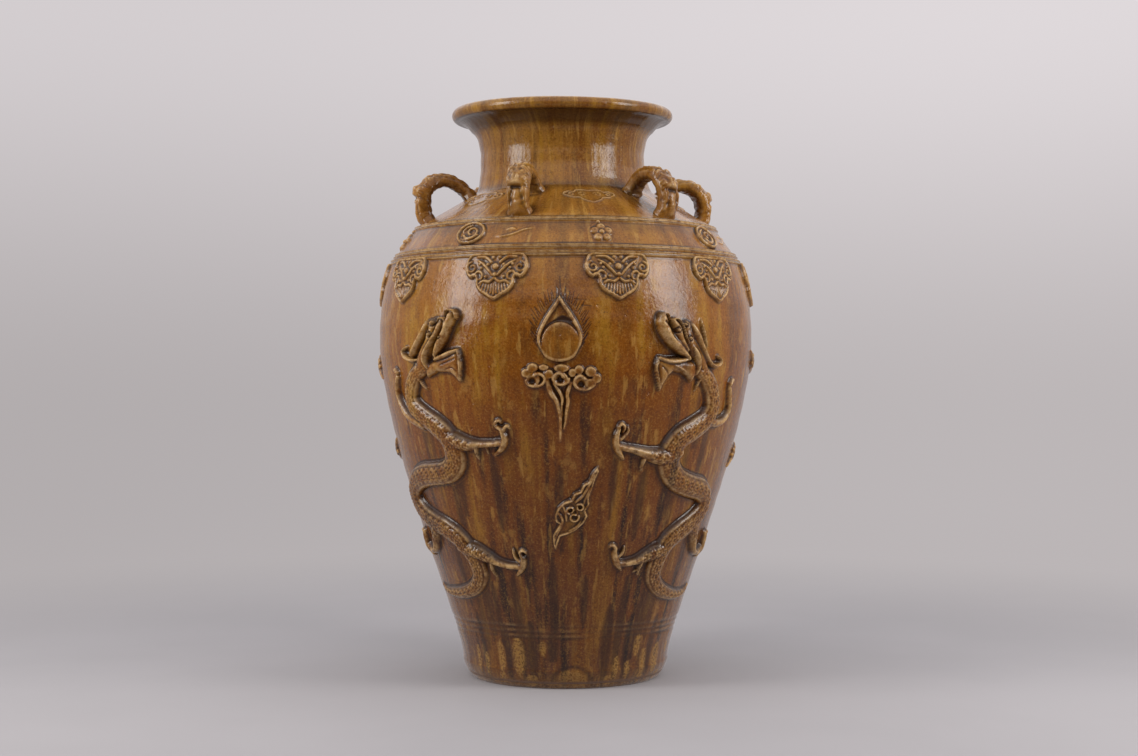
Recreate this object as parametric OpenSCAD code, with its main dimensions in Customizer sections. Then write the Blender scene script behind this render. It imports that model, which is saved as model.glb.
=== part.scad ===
// Tall martaban storage jar in glazed stoneware. A base disc and seven thrown
// sections are luted on top of each other. Six lion mask lugs stand on the
// shoulder, and dragons, pearls, clouds, lappets and rosettes are laid on the
// wall in relief. Millimetres, Z up, the jar rests on z = 0, its front faces -Y.
// Angles on the wall run from the front and grow to the right.

/* [Section heights, from the ground up] */
// Height of the bevelled foot
foot_h = 20; // [16:1:30]
// Height of the lowest wall section
lower_h = 185; // [165:1:215]
// Height of the middle wall section, up to the widest point
middle_h = 180; // [160:1:210]
// Height of the upper wall section, up to the double ring
upper_h = 89; // [82:1:110]
// Height of the collar band between the rings
collar_h = 39; // [36:1:50]
// Height of the sloping shoulder
shoulder_h = 39.5; // [34:0.5:48]
// Height of the neck
neck_h = 73; // [62:1:90]
// Height of the lip section
lip_h = 24.5; // [22:0.5:32]

/* [Diameters] */
// Diameter of the face that the jar rests on
rest_d = 212; // [190:1:226]
// Diameter at the top of the foot
foot_d = 236; // [228:1:260]
// Diameter at the widest point
belly_d = 430; // [410:1:460]
// Diameter at the double ring
collar_d = 400; // [388:1:408]
// Diameter at the edge of the shoulder
shoulder_d = 344; // [330:1:356]
// Diameter at the root of the neck
neck_d = 208; // [200:1:216]
// Diameter at the narrowest point of the neck
throat_d = 190.6; // [186:0.2:198]
// Diameter of the throat bore that a stopper enters
bore_d = 172; // [166:1:176]
// Diameter over the lip
lip_d = 256.6; // [246:0.2:272]

/* [Clay] */
// Thickness of the wall
wall_t = 9; // [7:0.5:11]
// Thickness of the floor
floor_t = 14; // [10:0.5:16]
// Radius of the rolled edge of the lip
lip_roll = 7; // [5:0.5:8]
// Gap left between an applied piece and the wall
seat = 0.3; // [0.25:0.05:0.5]

/* [Rings] */
// Height of a string ring, measured along the wall
ring_w = 5.2; // [4:0.2:6]
// How far a string ring stands out
ring_proud = 2.6; // [1.5:0.1:4]
// Distance from the shoulder edge down to the upper ring
upper_ring_drop = 3; // [2.8:0.1:4]
// Distance between the two lower rings
ring_pitch = 7.2; // [6.6:0.2:9]

/* [Lugs] */
// Number of lugs round the shoulder
lug_count = 6; // [6]
// Angle of the first lug from the front
lug_turn = 42.5; // [40:0.5:45]
// Height of the arch over its own base line
lug_rise = 34; // [30:1:42]
// Thickness of the outer leg, under the mask
lug_outer_t = 20; // [16:0.5:22]
// Thickness of the inner leg
lug_inner_t = 16; // [12:0.5:18]
// Width of the mask
lug_w = 27; // [22:1:32]
// Bare shoulder left outside the outer foot and inside the inner foot
lug_margin = 1.5; // [1:0.5:3]

/* [Reliefs] */
// Angle of the pearl, about which each pair of dragons is mirrored
pair_turn = -1.5; // [-6:0.5:6]
// Height of the bare band between the foot and the dragons' tails
bare_h = 72; // [60:1:90]
// Height of the dragons over the wall
dragon_t = 9; // [6:0.5:11]
// Thickness of the pearl's rim
pearl_t = 7; // [5:0.5:9]
// Width of the pearl
pearl_w = 47; // [40:1:52]
// Height of the pearl, from its tip to its foot
pearl_h = 70; // [60:1:74]
// Thickness of the clouds
cloud_t = 5; // [3.5:0.5:7]
// Width of the cloud under the pearl
pearl_cloud_w = 78; // [66:1:84]
// Number of lappets under the double ring
lappet_count = 10; // [10]
// Angle of the first lappet
lappet_turn = 15.5; // [0:0.5:36]
// Width of a lappet
lappet_w = 70; // [60:1:76]
// Height of a lappet
lappet_h = 46; // [40:1:50]
// Thickness of a lappet
lappet_t = 4.5; // [3:0.5:6]
// Diameter of a roundel on the collar
roundel_d = 34; // [28:1:34]
// Diameter of a rosette on the collar
rosette_d = 24; // [20:1:28]
// Thickness of the roundels and rosettes
collar_relief_t = 4; // [3:0.5:5]
// Width of a cloud on the shoulder
shoulder_cloud_w = 60; // [48:1:62]
// Thickness of a cloud on the shoulder
shoulder_cloud_t = 3; // [2:0.5:4]

/* [Hidden] */
$fn = 96;

glaze = "#8a5a24";
glaze_dark = "#5f3a1c";
glaze_light = "#b98d45";
glaze_edge = "#a37a3c";

// Levels of the seams between the sections
lower_z = foot_h + lower_h;
belly_z = lower_z + middle_h;
collar_z = belly_z + upper_h;
shoulder_z = collar_z + collar_h;
neck_z = shoulder_z + shoulder_h;
lip_z = neck_z + neck_h;
jar_h = lip_z + lip_h;

rest_r = rest_d / 2;
foot_r = foot_d / 2;
belly_r = belly_d / 2;
collar_r = collar_d / 2;
shoulder_r = shoulder_d / 2;
neck_r = neck_d / 2;
throat_r = throat_d / 2;
bore_r = bore_d / 2;
lip_r = lip_d / 2;

// Handles of the curves that the wall follows
waist_in = 4.4;
foot_pull = 23;
belly_pull = 109;
belly_top_pull = 40;
collar_pull = 22;
collar_flare = 8.8;
root_flare = 3;
root_pull = 4;
throat_rise = 38;
throat_pull = 8;
lip_root_out = 10.7;
lip_pull = 7;
lip_under_out = 6.6;
lip_under_rise = 6;
lip_fall_pull = 13;
lip_fall_drop = 9;
bevel_out = 4;
bevel_rise = 2;
bevel_in = 2;
bevel_drop = 8;
floor_cove = 4;
bore_over = 12;
bore_gap = 0.2;
curve_steps = 14;

function unit(v) = v / norm(v);
function turned(v) = [v.y, -v.x];
function bezier(a, b, c, d, n) = [for (i = [0 : n]) let (t = i / n, s = 1 - t)
    s * s * s * a + 3 * s * s * t * b + 3 * s * t * t * c + t * t * t * d];
function backwards(list) = [for (i = [len(list) - 1 : -1 : 0]) list[i]];
function without_first(list) = [for (i = [1 : len(list) - 1]) list[i]];

// Outer line of the wall, as [radius, height], from the foot to the lip
outer_line = concat(
    bezier([foot_r, foot_h], [foot_r - waist_in, foot_h + foot_pull],
        [belly_r, belly_z - belly_pull], [belly_r, belly_z], 2 * curve_steps),
    without_first(bezier([belly_r, belly_z], [belly_r, belly_z + belly_top_pull],
        [collar_r + collar_flare, collar_z - collar_pull], [collar_r, collar_z], curve_steps)),
    [[shoulder_r, shoulder_z]],
    bezier([neck_r, neck_z], [throat_r + root_flare, neck_z + root_pull],
        [throat_r, neck_z + throat_rise - throat_pull], [throat_r, neck_z + throat_rise],
        curve_steps / 2),
    without_first(bezier([throat_r, neck_z + throat_rise],
        [throat_r, neck_z + throat_rise + lip_pull], [throat_r, lip_z - lip_pull],
        [throat_r + lip_root_out, lip_z], curve_steps / 2)));

// The same line moved inwards by the thickness of the wall
function inward(line, d) = [for (i = [0 : len(line) - 1]) let (
        before = unit(line[max(i, 1)] - line[max(i, 1) - 1]),
        after = unit(line[min(i, len(line) - 2) + 1] - line[min(i, len(line) - 2)]),
        n = turned(before), m = turned(after))
    line[i] - d * (n + m) / (1 + n * m)];
inner_line = inward(outer_line, wall_t);

function as_table(line) = [for (p = line) [p.y, p.x]];
outer_table = as_table(outer_line);
inner_table = as_table(inner_line);

// The part of a line between two heights, with a point on each of them
function stretch(line, table, low, high) = concat(
    [[lookup(low, table), low]],
    [for (p = line) if (p.y > low + 0.5 && p.y < high - 0.5) p],
    [[lookup(high, table), high]]);

// Radius, slope and surface normal of the outside at a height
function wall_r(z) = lookup(z, outer_table);
function wall_slope(z) = (wall_r(z + 1) - wall_r(z - 1)) / 2;
function wall_cos(z) = 1 / sqrt(1 + pow(wall_slope(z), 2));

// The point that lies so far over the wall at an angle and a height
function over_wall(angle, z, lift) = let (
        c = wall_cos(z), r = wall_r(z) + lift * c)
    [r * sin(angle), -r * cos(angle), z - lift * wall_slope(z) * c];

// The angle and height reached by going right and up along the wall
function along_wall(angle, z, right, up) = let (
        z2 = z + up * wall_cos(z))
    [angle + right / wall_r(z2) * 180 / PI, z2];

module wall_section(low, high) {
    rotate_extrude()
        polygon(concat(stretch(outer_line, outer_table, low, high),
            backwards(stretch(inner_line, inner_table, low, high))));
}

module base_disc() {
    inner_r = lookup(foot_h, inner_table);
    bevel = bezier([rest_r, 0], [rest_r + bevel_out, bevel_rise],
        [foot_r - bevel_in, foot_h - bevel_drop], [foot_r, foot_h], curve_steps / 2);
    color(glaze_dark) rotate_extrude()
        polygon(concat([[0, 0]], bevel,
            [[inner_r, foot_h], [inner_r - floor_cove, floor_t], [0, floor_t]]));
}

module lower_wall() { color(glaze_dark) wall_section(foot_h, lower_z); }

module middle_wall() { color(glaze) wall_section(lower_z, belly_z); }

module upper_wall() { color(glaze) wall_section(belly_z, collar_z); }

module collar_band() { color(glaze) wall_section(collar_z, shoulder_z); }

module shoulder() { color(glaze) wall_section(shoulder_z, neck_z); }

// The neck is round inside over its lower part, where a stopper sits
bore_top = neck_z + throat_rise + bore_over;
lip_bore_r = throat_r + bore_gap;

module neck() {
    color(glaze) rotate_extrude()
        polygon(concat(stretch(outer_line, outer_table, neck_z, lip_z),
            [[lip_bore_r, lip_z], [bore_r, bore_top], [bore_r, neck_z]]));
}

// The lip turns out under a rolled edge and falls into the throat
module lip() {
    roll = [lip_r - lip_roll, jar_h - lip_roll];
    edge = [for (a = [-100 : 19 : 90]) roll + lip_roll * [cos(a), sin(a)]];
    fall = bezier([roll.x, jar_h], [roll.x - lip_fall_pull, jar_h],
        [lip_bore_r + bevel_out, jar_h - lip_fall_drop], [lip_bore_r, lip_z], curve_steps / 2);
    root_r = throat_r + lip_root_out;
    under = [[root_r, lip_z], [root_r + lip_under_out, lip_z + lip_under_rise]];
    color(glaze_light) rotate_extrude() polygon(concat(under, edge, without_first(fall)));
}

// A string ring is a half round laid along the wall
module string_ring(z) {
    c = wall_cos(z);
    out = [c, -wall_slope(z) * c];
    up = [-out.y, out.x];
    foot = [wall_r(z), z] + seat * out;
    color(glaze_edge) rotate_extrude()
        polygon([for (a = [-90 : 20 : 90])
            foot + ring_proud * cos(a) * out + ring_w / 2 * sin(a) * up]);
}

module upper_string_ring() { string_ring(shoulder_z - upper_ring_drop); }

module lower_string_ring_1() { string_ring(collar_z + ring_w); }

module lower_string_ring_2() { string_ring(collar_z + ring_w - ring_pitch); }

// Triangles that join ring after ring of points, closed at both ends
function band(a, b, n) = [for (i = [0 : n - 1]) let (j = (i + 1) % n)
    each [[a + i, b + i, b + j], [a + i, b + j, a + j]]];

// A ridge laid along a stroke on the wall. A stroke is a list of
// [angle, height, half width, thickness], and its section is [side, lift] in
// shares of the half width and the thickness. Strokes that run into another
// one start a little higher over the wall, at back.
broad = [[-1, 0], [0, 0], [1, 0], [0.82, 0.72], [0, 1], [-0.82, 0.72]];
slim = [[-1, 0], [1, 0], [0.8, 0.72], [0, 1], [-0.8, 0.72]];
pointed = [[-1, 0], [1, 0], [0, 1]];

function glide(a, b, c, d, t) = 0.5 * (2 * b + (c - a) * t
    + (2 * a - 5 * b + 4 * c - d) * t * t + (3 * b - a - 3 * c + d) * t * t * t);
function smooth(pts, k) = let (e = len(pts) - 1) concat(
    [for (i = [0 : e - 1]) for (j = [0 : k - 1])
        glide(pts[max(i - 1, 0)], pts[i], pts[i + 1], pts[min(i + 2, e)], j / k)],
    [pts[e]]);

function stroke_side(pts, i) = let (
        p = pts[max(i - 1, 0)], q = pts[min(i + 1, len(pts) - 1)], z = pts[i][1],
        run = unit([(q[0] - p[0]) * PI / 180 * wall_r(z), (q[1] - p[1]) / wall_cos(z)]))
    turned(run);

module ridge(stroke, section, k, back = 0) {
    pts = smooth(stroke, k);
    n = len(section);
    e = len(pts) - 1;
    skin = [for (i = [0 : e]) let (p = pts[i], side = stroke_side(pts, i)) for (s = section)
        let (at = along_wall(p[0], p[1], side.x * s[0] * p[2], side.y * s[0] * p[2]))
        over_wall(at[0], at[1], seat + back + s[1] * (p[3] - back))];
    faces = concat(
        [for (i = [0 : e - 1]) each band((i + 1) * n, i * n, n)],
        [for (i = [1 : n - 2]) [0, i + 1, i]],
        [for (i = [1 : n - 2]) [e * n, e * n + i, e * n + i + 1]]);
    polyhedron(skin, faces, 8);
}

// A flat applied ornament: an outline of [right, up] points round its centre,
// and levels of [share of the outline, lift] from the edge to the middle
module applied(angle, z, outline, levels) {
    n = len(outline);
    m = len(levels);
    function ring(share, lift) = [for (p = outline)
        let (at = along_wall(angle, z, share * p.x, share * p.y))
        over_wall(at[0], at[1], seat + lift)];
    skin = concat(ring(0.5, 0), ring(1, 0), [for (v = levels) each ring(v[0], v[1])],
        [over_wall(angle, z, seat), over_wall(angle, z, seat + levels[m - 1][1])]);
    back = (m + 2) * n;
    faces = concat(
        [for (i = [0 : m]) each band((i + 1) * n, i * n, n)],
        [for (i = [0 : n - 1]) [back, (i + 1) % n, i]],
        [for (i = [0 : n - 1]) [back + 1, (m + 1) * n + i, (m + 1) * n + (i + 1) % n]]);
    polyhedron(skin, faces, 8);
}

// An outline from its right half, given from the top down
function mirrored(half) = concat(half, [for (p = backwards(half)) if (p.x > 0.01) [-p.x, p.y]]);

// A bead pressed on the wall
module bead(angle, z, r) {
    translate(over_wall(angle, z, seat + 0.9 * r)) sphere(r, $fn = 4);
}

// A lug is an arch over the slope of the shoulder, from an outer foot near the
// shoulder edge to an inner foot near the neck. The outer leg is a lion mask.
cone_run = unit([neck_r - shoulder_r, shoulder_h]);
chin_share = 0.55;
lug_out_r = shoulder_r - lug_margin + cone_run.x * lug_outer_t * chin_share;
lug_in_r = neck_r + lug_margin - cone_run.x * lug_inner_t / 2;
cone_fall = shoulder_h / (shoulder_r - neck_r);
function cone_z(r) = shoulder_z + (shoulder_r - r) * cone_fall;
lug_foot = [lug_out_r, cone_z(lug_out_r)];
lug_span = norm([lug_in_r, cone_z(lug_in_r)] - lug_foot);
lug_up = turned(cone_run);
lug_seat = seat / lug_up.y;
lug_stops = [0, 0.04, 0.08, 0.12, 0.16, 0.2, 0.24, 0.28, 0.33, 0.38, 0.44, 0.51,
    0.6, 0.69, 0.78, 0.87, 0.95, 1];
// Chin, hollow mouth, muzzle, nose, eyes, brow and crown, as shares of the thickness
mask_front = [[0, 1.1], [0.05, 1], [0.09, 0.72], [0.13, 1.2], [0.18, 1.45], [0.22, 1.1],
    [0.27, 1.45], [0.33, 1.3], [0.42, 1.1], [0.5, 1], [1, 1]];
// Width of the tongue, the mask, the strap and the inner foot, as shares
mask_side = [[0, 0.85], [0.07, 0.72], [0.14, 0.95], [0.2, 0.9], [0.28, 1], [0.36, 0.95],
    [0.5, 0.76], [0.85, 0.7], [1, 0.85]];

function lug_point(t, phi) = let (
        thick = (lug_outer_t * (1 - t) + lug_inner_t * t) / 2,
        front = cos(phi) > 0 ? lookup(t, mask_front) : 1,
        out = unit(-rise_in(t) * cone_run + span_in(t) * lug_up),
        at = lug_foot + cone_run * lug_span / 2 * (1 - cos(180 * t)) + lug_up * lug_rise * sin(180 * t)
            + out * thick * front * cos(phi),
        side = lug_w / 2 * lookup(t, mask_side) * sin(phi),
        end = t == 0 || t == 1,
        z = end ? cone_z(norm([at.x, side])) + lug_seat : at.y)
    [side, -at.x, z];
function rise_in(t) = lug_rise * cos(180 * t);
function span_in(t) = lug_span / 2 * sin(180 * t);
function lug_end(r) = [0, -r, cone_z(r) + lug_seat];

module mask_lug(k) {
    n = 8;
    e = len(lug_stops) - 1;
    skin = concat(
        [for (t = lug_stops) for (i = [0 : n - 1]) lug_point(t, 360 / n * (i + 0.5))],
        [lug_end(lug_out_r), lug_end(lug_in_r)]);
    last = len(skin) - 1;
    faces = concat(
        [for (i = [0 : e - 1]) each band(i * n, (i + 1) * n, n)],
        [for (i = [0 : n - 1]) [last - 1, i, (i + 1) % n]],
        [for (i = [0 : n - 1]) [last, e * n + (i + 1) % n, e * n + i]]);
    color(glaze_edge) rotate([0, 0, lug_turn + 360 / lug_count * (k - 1)])
        polyhedron(skin, faces, 8);
}

// Thin clouds on the shoulder, between the lugs, two thirds of the way up it
shoulder_cloud_rise = 0.68;

module shoulder_cloud(k) {
    w = shoulder_cloud_w / 2;
    half = w * [[0, 0.5], [0.4, 0.53], [0.8, 0.47], [1, 0.23], [0.87, 0], [0.6, -0.1],
        [0.47, -0.33], [0.2, -0.53], [0, -0.6]];
    outline = mirrored(half);
    middle = shoulder_z + shoulder_cloud_rise * shoulder_h;
    h = shoulder_cloud_t;
    color(glaze_light) rotate([0, 0, lug_turn + 360 / lug_count * (k - 1.5)])
        applied(0, middle, outline, [[0.88, h], [0.7, h * 0.4]]);
}

// Roundels and five-petalled rosettes take turns on the collar
collar_count = 4;
roundel_turn = 57;
rosette_turn = 12;
collar_mid = (collar_z + ring_w * 1.5 + ring_proud / 2 + shoulder_z - upper_ring_drop - ring_w / 2) / 2;

module roundel(k) {
    tall = 0.88;
    outline = [for (a = [0 : 22.5 : 359]) roundel_d / 2 * [sin(a), tall * cos(a)]];
    h = collar_relief_t;
    color(glaze_edge) rotate([0, 0, roundel_turn + 360 / collar_count * (k - 1)])
        applied(0, collar_mid, outline, [[0.9, h], [0.72, h * 0.4], [0.35, h * 0.8]]);
}

module rosette(k) {
    petals = 5;
    outline = [for (a = [0 : 120 / petals : 359])
        rosette_d / 2 * (0.86 + 0.14 * cos(petals * a)) * [sin(a), cos(a)]];
    h = collar_relief_t;
    color(glaze_edge) rotate([0, 0, rosette_turn + 360 / collar_count * (k - 1)])
        applied(0, collar_mid, outline, [[0.94, h * 0.7], [0.55, h * 0.6], [0.3, h]]);
}

// Ruyi-headed lappets hang under the double ring
lappet_gap = 3.5;
lappet_top = collar_z + ring_w - ring_pitch - ring_w / 2 - lappet_gap;
lappet_z = lappet_top - lappet_h / 2;

module lappet(k) {
    w = lappet_w / 2;
    h = lappet_h / 2;
    half = [[0, h], [0.5 * w, h], [0.84 * w, 0.9 * h], [w, 0.55 * h], [0.95 * w, 0.2 * h],
        [0.76 * w, 0.02 * h], [0.68 * w, -0.3 * h], [0.48 * w, -0.66 * h], [0.2 * w, -0.86 * h], [0, -h]];
    t = lappet_t;
    color(glaze_light) rotate([0, 0, lappet_turn + 360 / lappet_count * (k - 1)])
        applied(0, lappet_z, mirrored(half), [[0.93, t], [0.78, t * 0.7]]);
}

// The dragons, pearls and clouds fill the field between the bare band over the
// foot and the lappets. Their strokes are lists of [angle, height, half width,
// share of the thickness]. They are drawn for a field between the first two of
// these sizes on a belly as wide as the third, and grow and move with the jar.
drawn_for = [92, 419, 430];
field_low = foot_h + bare_h;
field_high = lappet_z - lappet_h / 2;
stroke_share = belly_d / drawn_for[2];
field_share = (field_high - field_low) / (drawn_for[1] - drawn_for[0]);
function field_z(z) = field_low + (z - drawn_for[0]) * field_share;
function drawn(stroke, thick) = [for (p = stroke)
    [p[0], field_z(p[1]), p[2] * stroke_share, p[3] * thick]];

trunk = [[45, 366, 9.5, 0.75], [48, 351, 10.5, 0.8], [51.5, 330, 12, 0.9], [50, 307, 13, 0.95],
    [44, 291, 14, 1], [38, 277, 14.5, 1], [36, 256, 14.5, 1], [45, 233, 14, 1],
    [56, 226, 13.5, 0.95], [62, 206, 13, 0.9], [54, 181, 13, 0.95], [45, 168, 12.5, 0.95], [40, 153, 12, 0.9], [39, 134, 11, 0.85],
    [43, 115, 9.5, 0.75], [53, 104, 8, 0.6], [65, 103, 5.5, 0.5], [73, 108, 2.5, 0.35]];
upper_jaw = [[46, 370, 10, 0.7], [42, 379, 13, 0.95], [38, 388, 12.5, 1.1], [34, 397, 10, 1],
    [31, 405, 7.5, 0.9], [29.5, 411, 4, 0.6]];
lower_jaw = [[45, 362, 7, 0.7], [40, 359, 7, 0.8], [35, 356, 10, 0.75], [30.5, 353, 15, 0.6],
    [29.3, 352, 14, 0.3]];
horn = [[40.5, 399, 5, 0.8], [44, 393, 6, 0.9], [46.5, 381, 5, 0.8], [49.5, 370, 4.5, 0.7],
    [52.5, 366, 5, 0.7], [54, 369, 3, 0.5]];
ear = [[43, 374, 4, 0.8], [45.5, 362, 4.5, 0.7], [46.5, 348, 4, 0.65], [44.5, 339, 3.5, 0.55],
    [42, 338, 2.5, 0.4]];
inner_foreleg = [[38, 270, 9, 0.8], [33, 267, 8.5, 0.8], [28, 266, 6.5, 0.7], [23, 267, 5.5, 0.65],
    [19.5, 272, 5, 0.65], [18.3, 281, 4.5, 0.6]];
outer_foreleg = [[50, 300, 9, 0.8], [56, 303, 8, 0.8], [60, 311, 7, 0.7], [61.5, 322, 6, 0.65],
    [60, 332, 5, 0.6]];
inner_hind_leg = [[43, 152, 11, 0.8], [37, 152, 10, 0.9], [32, 148, 7.5, 0.75], [26.5, 143, 6, 0.65],
    [21.5, 142, 5.5, 0.6], [19, 148, 4.5, 0.6]];
outer_hind_leg = [[57, 180, 10, 0.8], [60, 166, 8.5, 0.8], [63.5, 153, 7, 0.7], [69, 151, 6, 0.65],
    [72, 159, 4.5, 0.6]];
// Claws, as the angles and heights of the ankle and the tip
claws = [
    [18.6, 280, 17.2, 291], [18.6, 280, 20.8, 293], [19.6, 271, 21.2, 262],
    [60, 331, 57.6, 340], [60, 331, 60.5, 343], [60, 331, 63, 339],
    [19, 147, 17.2, 157], [19, 147, 20.4, 159], [20.4, 143, 21, 133],
    [72, 158, 70, 167], [72, 158, 73.2, 169], [72, 157, 75.4, 160]];
// Half widths and shares of the thickness at the ankle and the tip of a claw
claw_root = [3.4, 0.6];
claw_tip = [1.4, 0.35];
function claw_stroke(c) = [
    [c[0], c[1], claw_root[0], claw_root[1]], [c[2], c[3], claw_tip[0], claw_tip[1]]];
// Brow, eye and nostril, as angle, height and radius
knobs = [[38.5, 399, 5.6], [36, 404, 4.6], [39.5, 390, 4.2]];
lap = 0.3;

module dragon() {
    ridge(drawn(trunk, dragon_t), broad, 2);
    ridge(drawn(upper_jaw, dragon_t), broad, 2, lap);
    ridge(drawn(lower_jaw, dragon_t), broad, 1, 2 * lap);
    for (limb = [horn, ear, inner_foreleg, outer_foreleg, inner_hind_leg, outer_hind_leg])
        ridge(drawn(limb, dragon_t), slim, 1, 1.5 * lap);
    for (c = claws) ridge(drawn(claw_stroke(c), dragon_t), pointed, 1, 2 * lap);
    for (b = knobs) bead(b[0], field_z(b[1]), b[2] * stroke_share);
}

module right_dragon(turn) {
    color(glaze_edge) rotate([0, 0, pair_turn + turn]) dragon();
}

module left_dragon(turn) {
    color(glaze_edge) rotate([0, 0, pair_turn + turn]) mirror([1, 0, 0]) dragon();
}

// A flaming pearl hangs between the two dragons of a pair
pearl_z = field_z(385);
pearl_rise = 43 / 70;

module pearl(turn) {
    w = pearl_w / 2;
    h = pearl_h * pearl_rise;
    foot = pearl_h - h;
    half = [[0, h], [0.24 * w, 0.79 * h], [0.5 * w, 0.58 * h], [0.78 * w, 0.33 * h], [0.96 * w, 0.1 * h],
        [w, -0.22 * foot], [0.86 * w, -0.6 * foot], [0.52 * w, -0.89 * foot], [0, -foot]];
    t = pearl_t;
    color(glaze_edge) rotate([0, 0, pair_turn + turn])
        applied(0, pearl_z, mirrored(half),
            [[0.98, t * 0.6], [0.92, t], [0.82, t * 0.9], [0.74, t * 0.45], [0.4, t * 0.7]]);
}

// Under the pearl, three curled lobes of cloud on a twisted stem
cloud_height = 343;
curl_half_w = 2.6;
curl_share = 1.25;

module pearl_cloud(turn) {
    t = cloud_t;
    w = pearl_cloud_w / 2;
    outline = w * [[-1, -0.08], [-0.97, 0.1], [-0.85, 0.28], [-0.62, 0.36], [-0.38, 0.31], [-0.15, 0.36],
        [0.15, 0.36], [0.38, 0.28], [0.64, 0.31], [0.85, 0.21], [1, 0.03], [0.92, -0.21], [0.69, -0.31],
        [0.41, -0.23], [0.15, -0.21], [-0.1, -0.23], [-0.36, -0.21], [-0.56, -0.26], [-0.82, -0.23]];
    stem_1 = [[-4, 338, 4, 0.8], [-3.4, 328, 4.2, 0.8], [-1, 318, 3.6, 0.8], [-0.4, 304, 3, 0.7],
        [0, 291, 1.4, 0.4]];
    stem_2 = [[2, 336, 3.5, 0.8], [1.8, 322, 3.2, 0.8], [1, 308, 3, 0.7], [0.2, 298, 1.6, 0.5]];
    // Curls on the three lobes, left, middle and right
    curls = [
        [[-9.4, 344], [-8.6, 351.5], [-6.2, 350.5], [-6.4, 344]],
        [[-2.4, 344], [-1.4, 352.5], [1.6, 352], [1.8, 345]],
        [[8.8, 343.5], [8, 351], [5.4, 350.5], [5.4, 344]]];
    color(glaze_light) rotate([0, 0, pair_turn + turn]) {
        applied(0, field_z(cloud_height), outline, [[0.95, t * 0.8], [0.72, t], [0.5, t * 0.6]]);
        ridge(drawn(stem_1, t), slim, 1, lap);
        ridge(drawn(stem_2, t), slim, 1, 2 * lap);
        for (curl = curls)
            ridge(drawn([for (p = curl) [p[0], p[1], curl_half_w, curl_share]], t), slim, 1, 3 * lap);
    }
}

// A leaf-shaped cloud low between the dragons
leaf = [[11, 248, 1.5, 0.4], [9, 230, 5, 0.8], [5.5, 214, 10, 1], [3.5, 200, 13, 1], [1, 187, 10, 0.95],
    [-2, 174, 5, 0.8], [-3, 163, 1.5, 0.4]];

module leaf_cloud(turn) {
    color(glaze_light) rotate([0, 0, pair_turn + turn]) ridge(drawn(leaf, cloud_t), broad, 2);
}

// Clouds fill the sides, between the front pair and the back pair of dragons
upper_side = [[-8, 366, 1.5, 0.4], [-4, 362, 7, 0.9], [1, 357, 11, 1], [5, 351, 7, 0.9], [9, 347, 1.5, 0.4]];
lower_side = [[8, 272, 1.5, 0.4], [4, 264, 7, 0.9], [-1, 255, 11, 1], [-5, 246, 7, 0.9], [-9, 240, 1.5, 0.4]];

module side_cloud(turn, stroke) {
    color(glaze_light) rotate([0, 0, pair_turn + turn]) ridge(drawn(stroke, cloud_t), broad, 2);
}

base_disc();
lower_wall();
middle_wall();
upper_wall();
collar_band();
shoulder();
neck();
lip();
upper_string_ring();
lower_string_ring_1();
lower_string_ring_2();
mask_lug(1);  // mask_lug_1
mask_lug(2);  // mask_lug_2
mask_lug(3);  // mask_lug_3
mask_lug(4);  // mask_lug_4
mask_lug(5);  // mask_lug_5
mask_lug(6);  // mask_lug_6
shoulder_cloud(1);  // shoulder_cloud_1
shoulder_cloud(2);  // shoulder_cloud_2
shoulder_cloud(3);  // shoulder_cloud_3
shoulder_cloud(4);  // shoulder_cloud_4
shoulder_cloud(5);  // shoulder_cloud_5
shoulder_cloud(6);  // shoulder_cloud_6
roundel(1);  // roundel_1
roundel(2);  // roundel_2
roundel(3);  // roundel_3
roundel(4);  // roundel_4
rosette(1);  // rosette_1
rosette(2);  // rosette_2
rosette(3);  // rosette_3
rosette(4);  // rosette_4
lappet(1);  // lappet_1
lappet(2);  // lappet_2
lappet(3);  // lappet_3
lappet(4);  // lappet_4
lappet(5);  // lappet_5
lappet(6);  // lappet_6
lappet(7);  // lappet_7
lappet(8);  // lappet_8
lappet(9);  // lappet_9
lappet(10);  // lappet_10
right_dragon(0);  // front_right_dragon
left_dragon(0);  // front_left_dragon
right_dragon(180);  // back_right_dragon
left_dragon(180);  // back_left_dragon
pearl(0);  // front_pearl
pearl(180);  // back_pearl
pearl_cloud(0);  // front_pearl_cloud
pearl_cloud(180);  // back_pearl_cloud
leaf_cloud(0);  // front_leaf_cloud
leaf_cloud(180);  // back_leaf_cloud
side_cloud(90, upper_side);  // side_cloud_1
side_cloud(90, lower_side);  // side_cloud_2
side_cloud(270, upper_side);  // side_cloud_3
side_cloud(270, lower_side);  // side_cloud_4
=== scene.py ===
"""A glazed stoneware martaban jar: thrown wall, string rings, mask lugs and applied reliefs."""

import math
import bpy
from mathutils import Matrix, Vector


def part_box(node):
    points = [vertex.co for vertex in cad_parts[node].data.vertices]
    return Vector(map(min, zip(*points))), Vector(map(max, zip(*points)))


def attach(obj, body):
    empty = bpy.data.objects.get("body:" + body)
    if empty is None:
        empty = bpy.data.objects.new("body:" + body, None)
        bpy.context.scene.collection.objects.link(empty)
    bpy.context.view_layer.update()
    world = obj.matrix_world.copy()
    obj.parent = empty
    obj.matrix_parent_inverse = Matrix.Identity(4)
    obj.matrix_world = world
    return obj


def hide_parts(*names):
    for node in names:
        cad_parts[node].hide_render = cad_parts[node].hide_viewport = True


bl_info = {
    "name": "Martaban jar",
    "version": (1, 0, 0),
    "blender": (4, 5, 0),
    "location": "View3D > Sidebar > Martaban jar",
    "description": "Builds a glazed stoneware storage jar with relief dragons and mask lugs",
    "category": "Add Mesh",
}

import bpy
import numpy as np
from bpy.props import FloatProperty, FloatVectorProperty, IntProperty, PointerProperty
from mathutils import Vector

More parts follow.
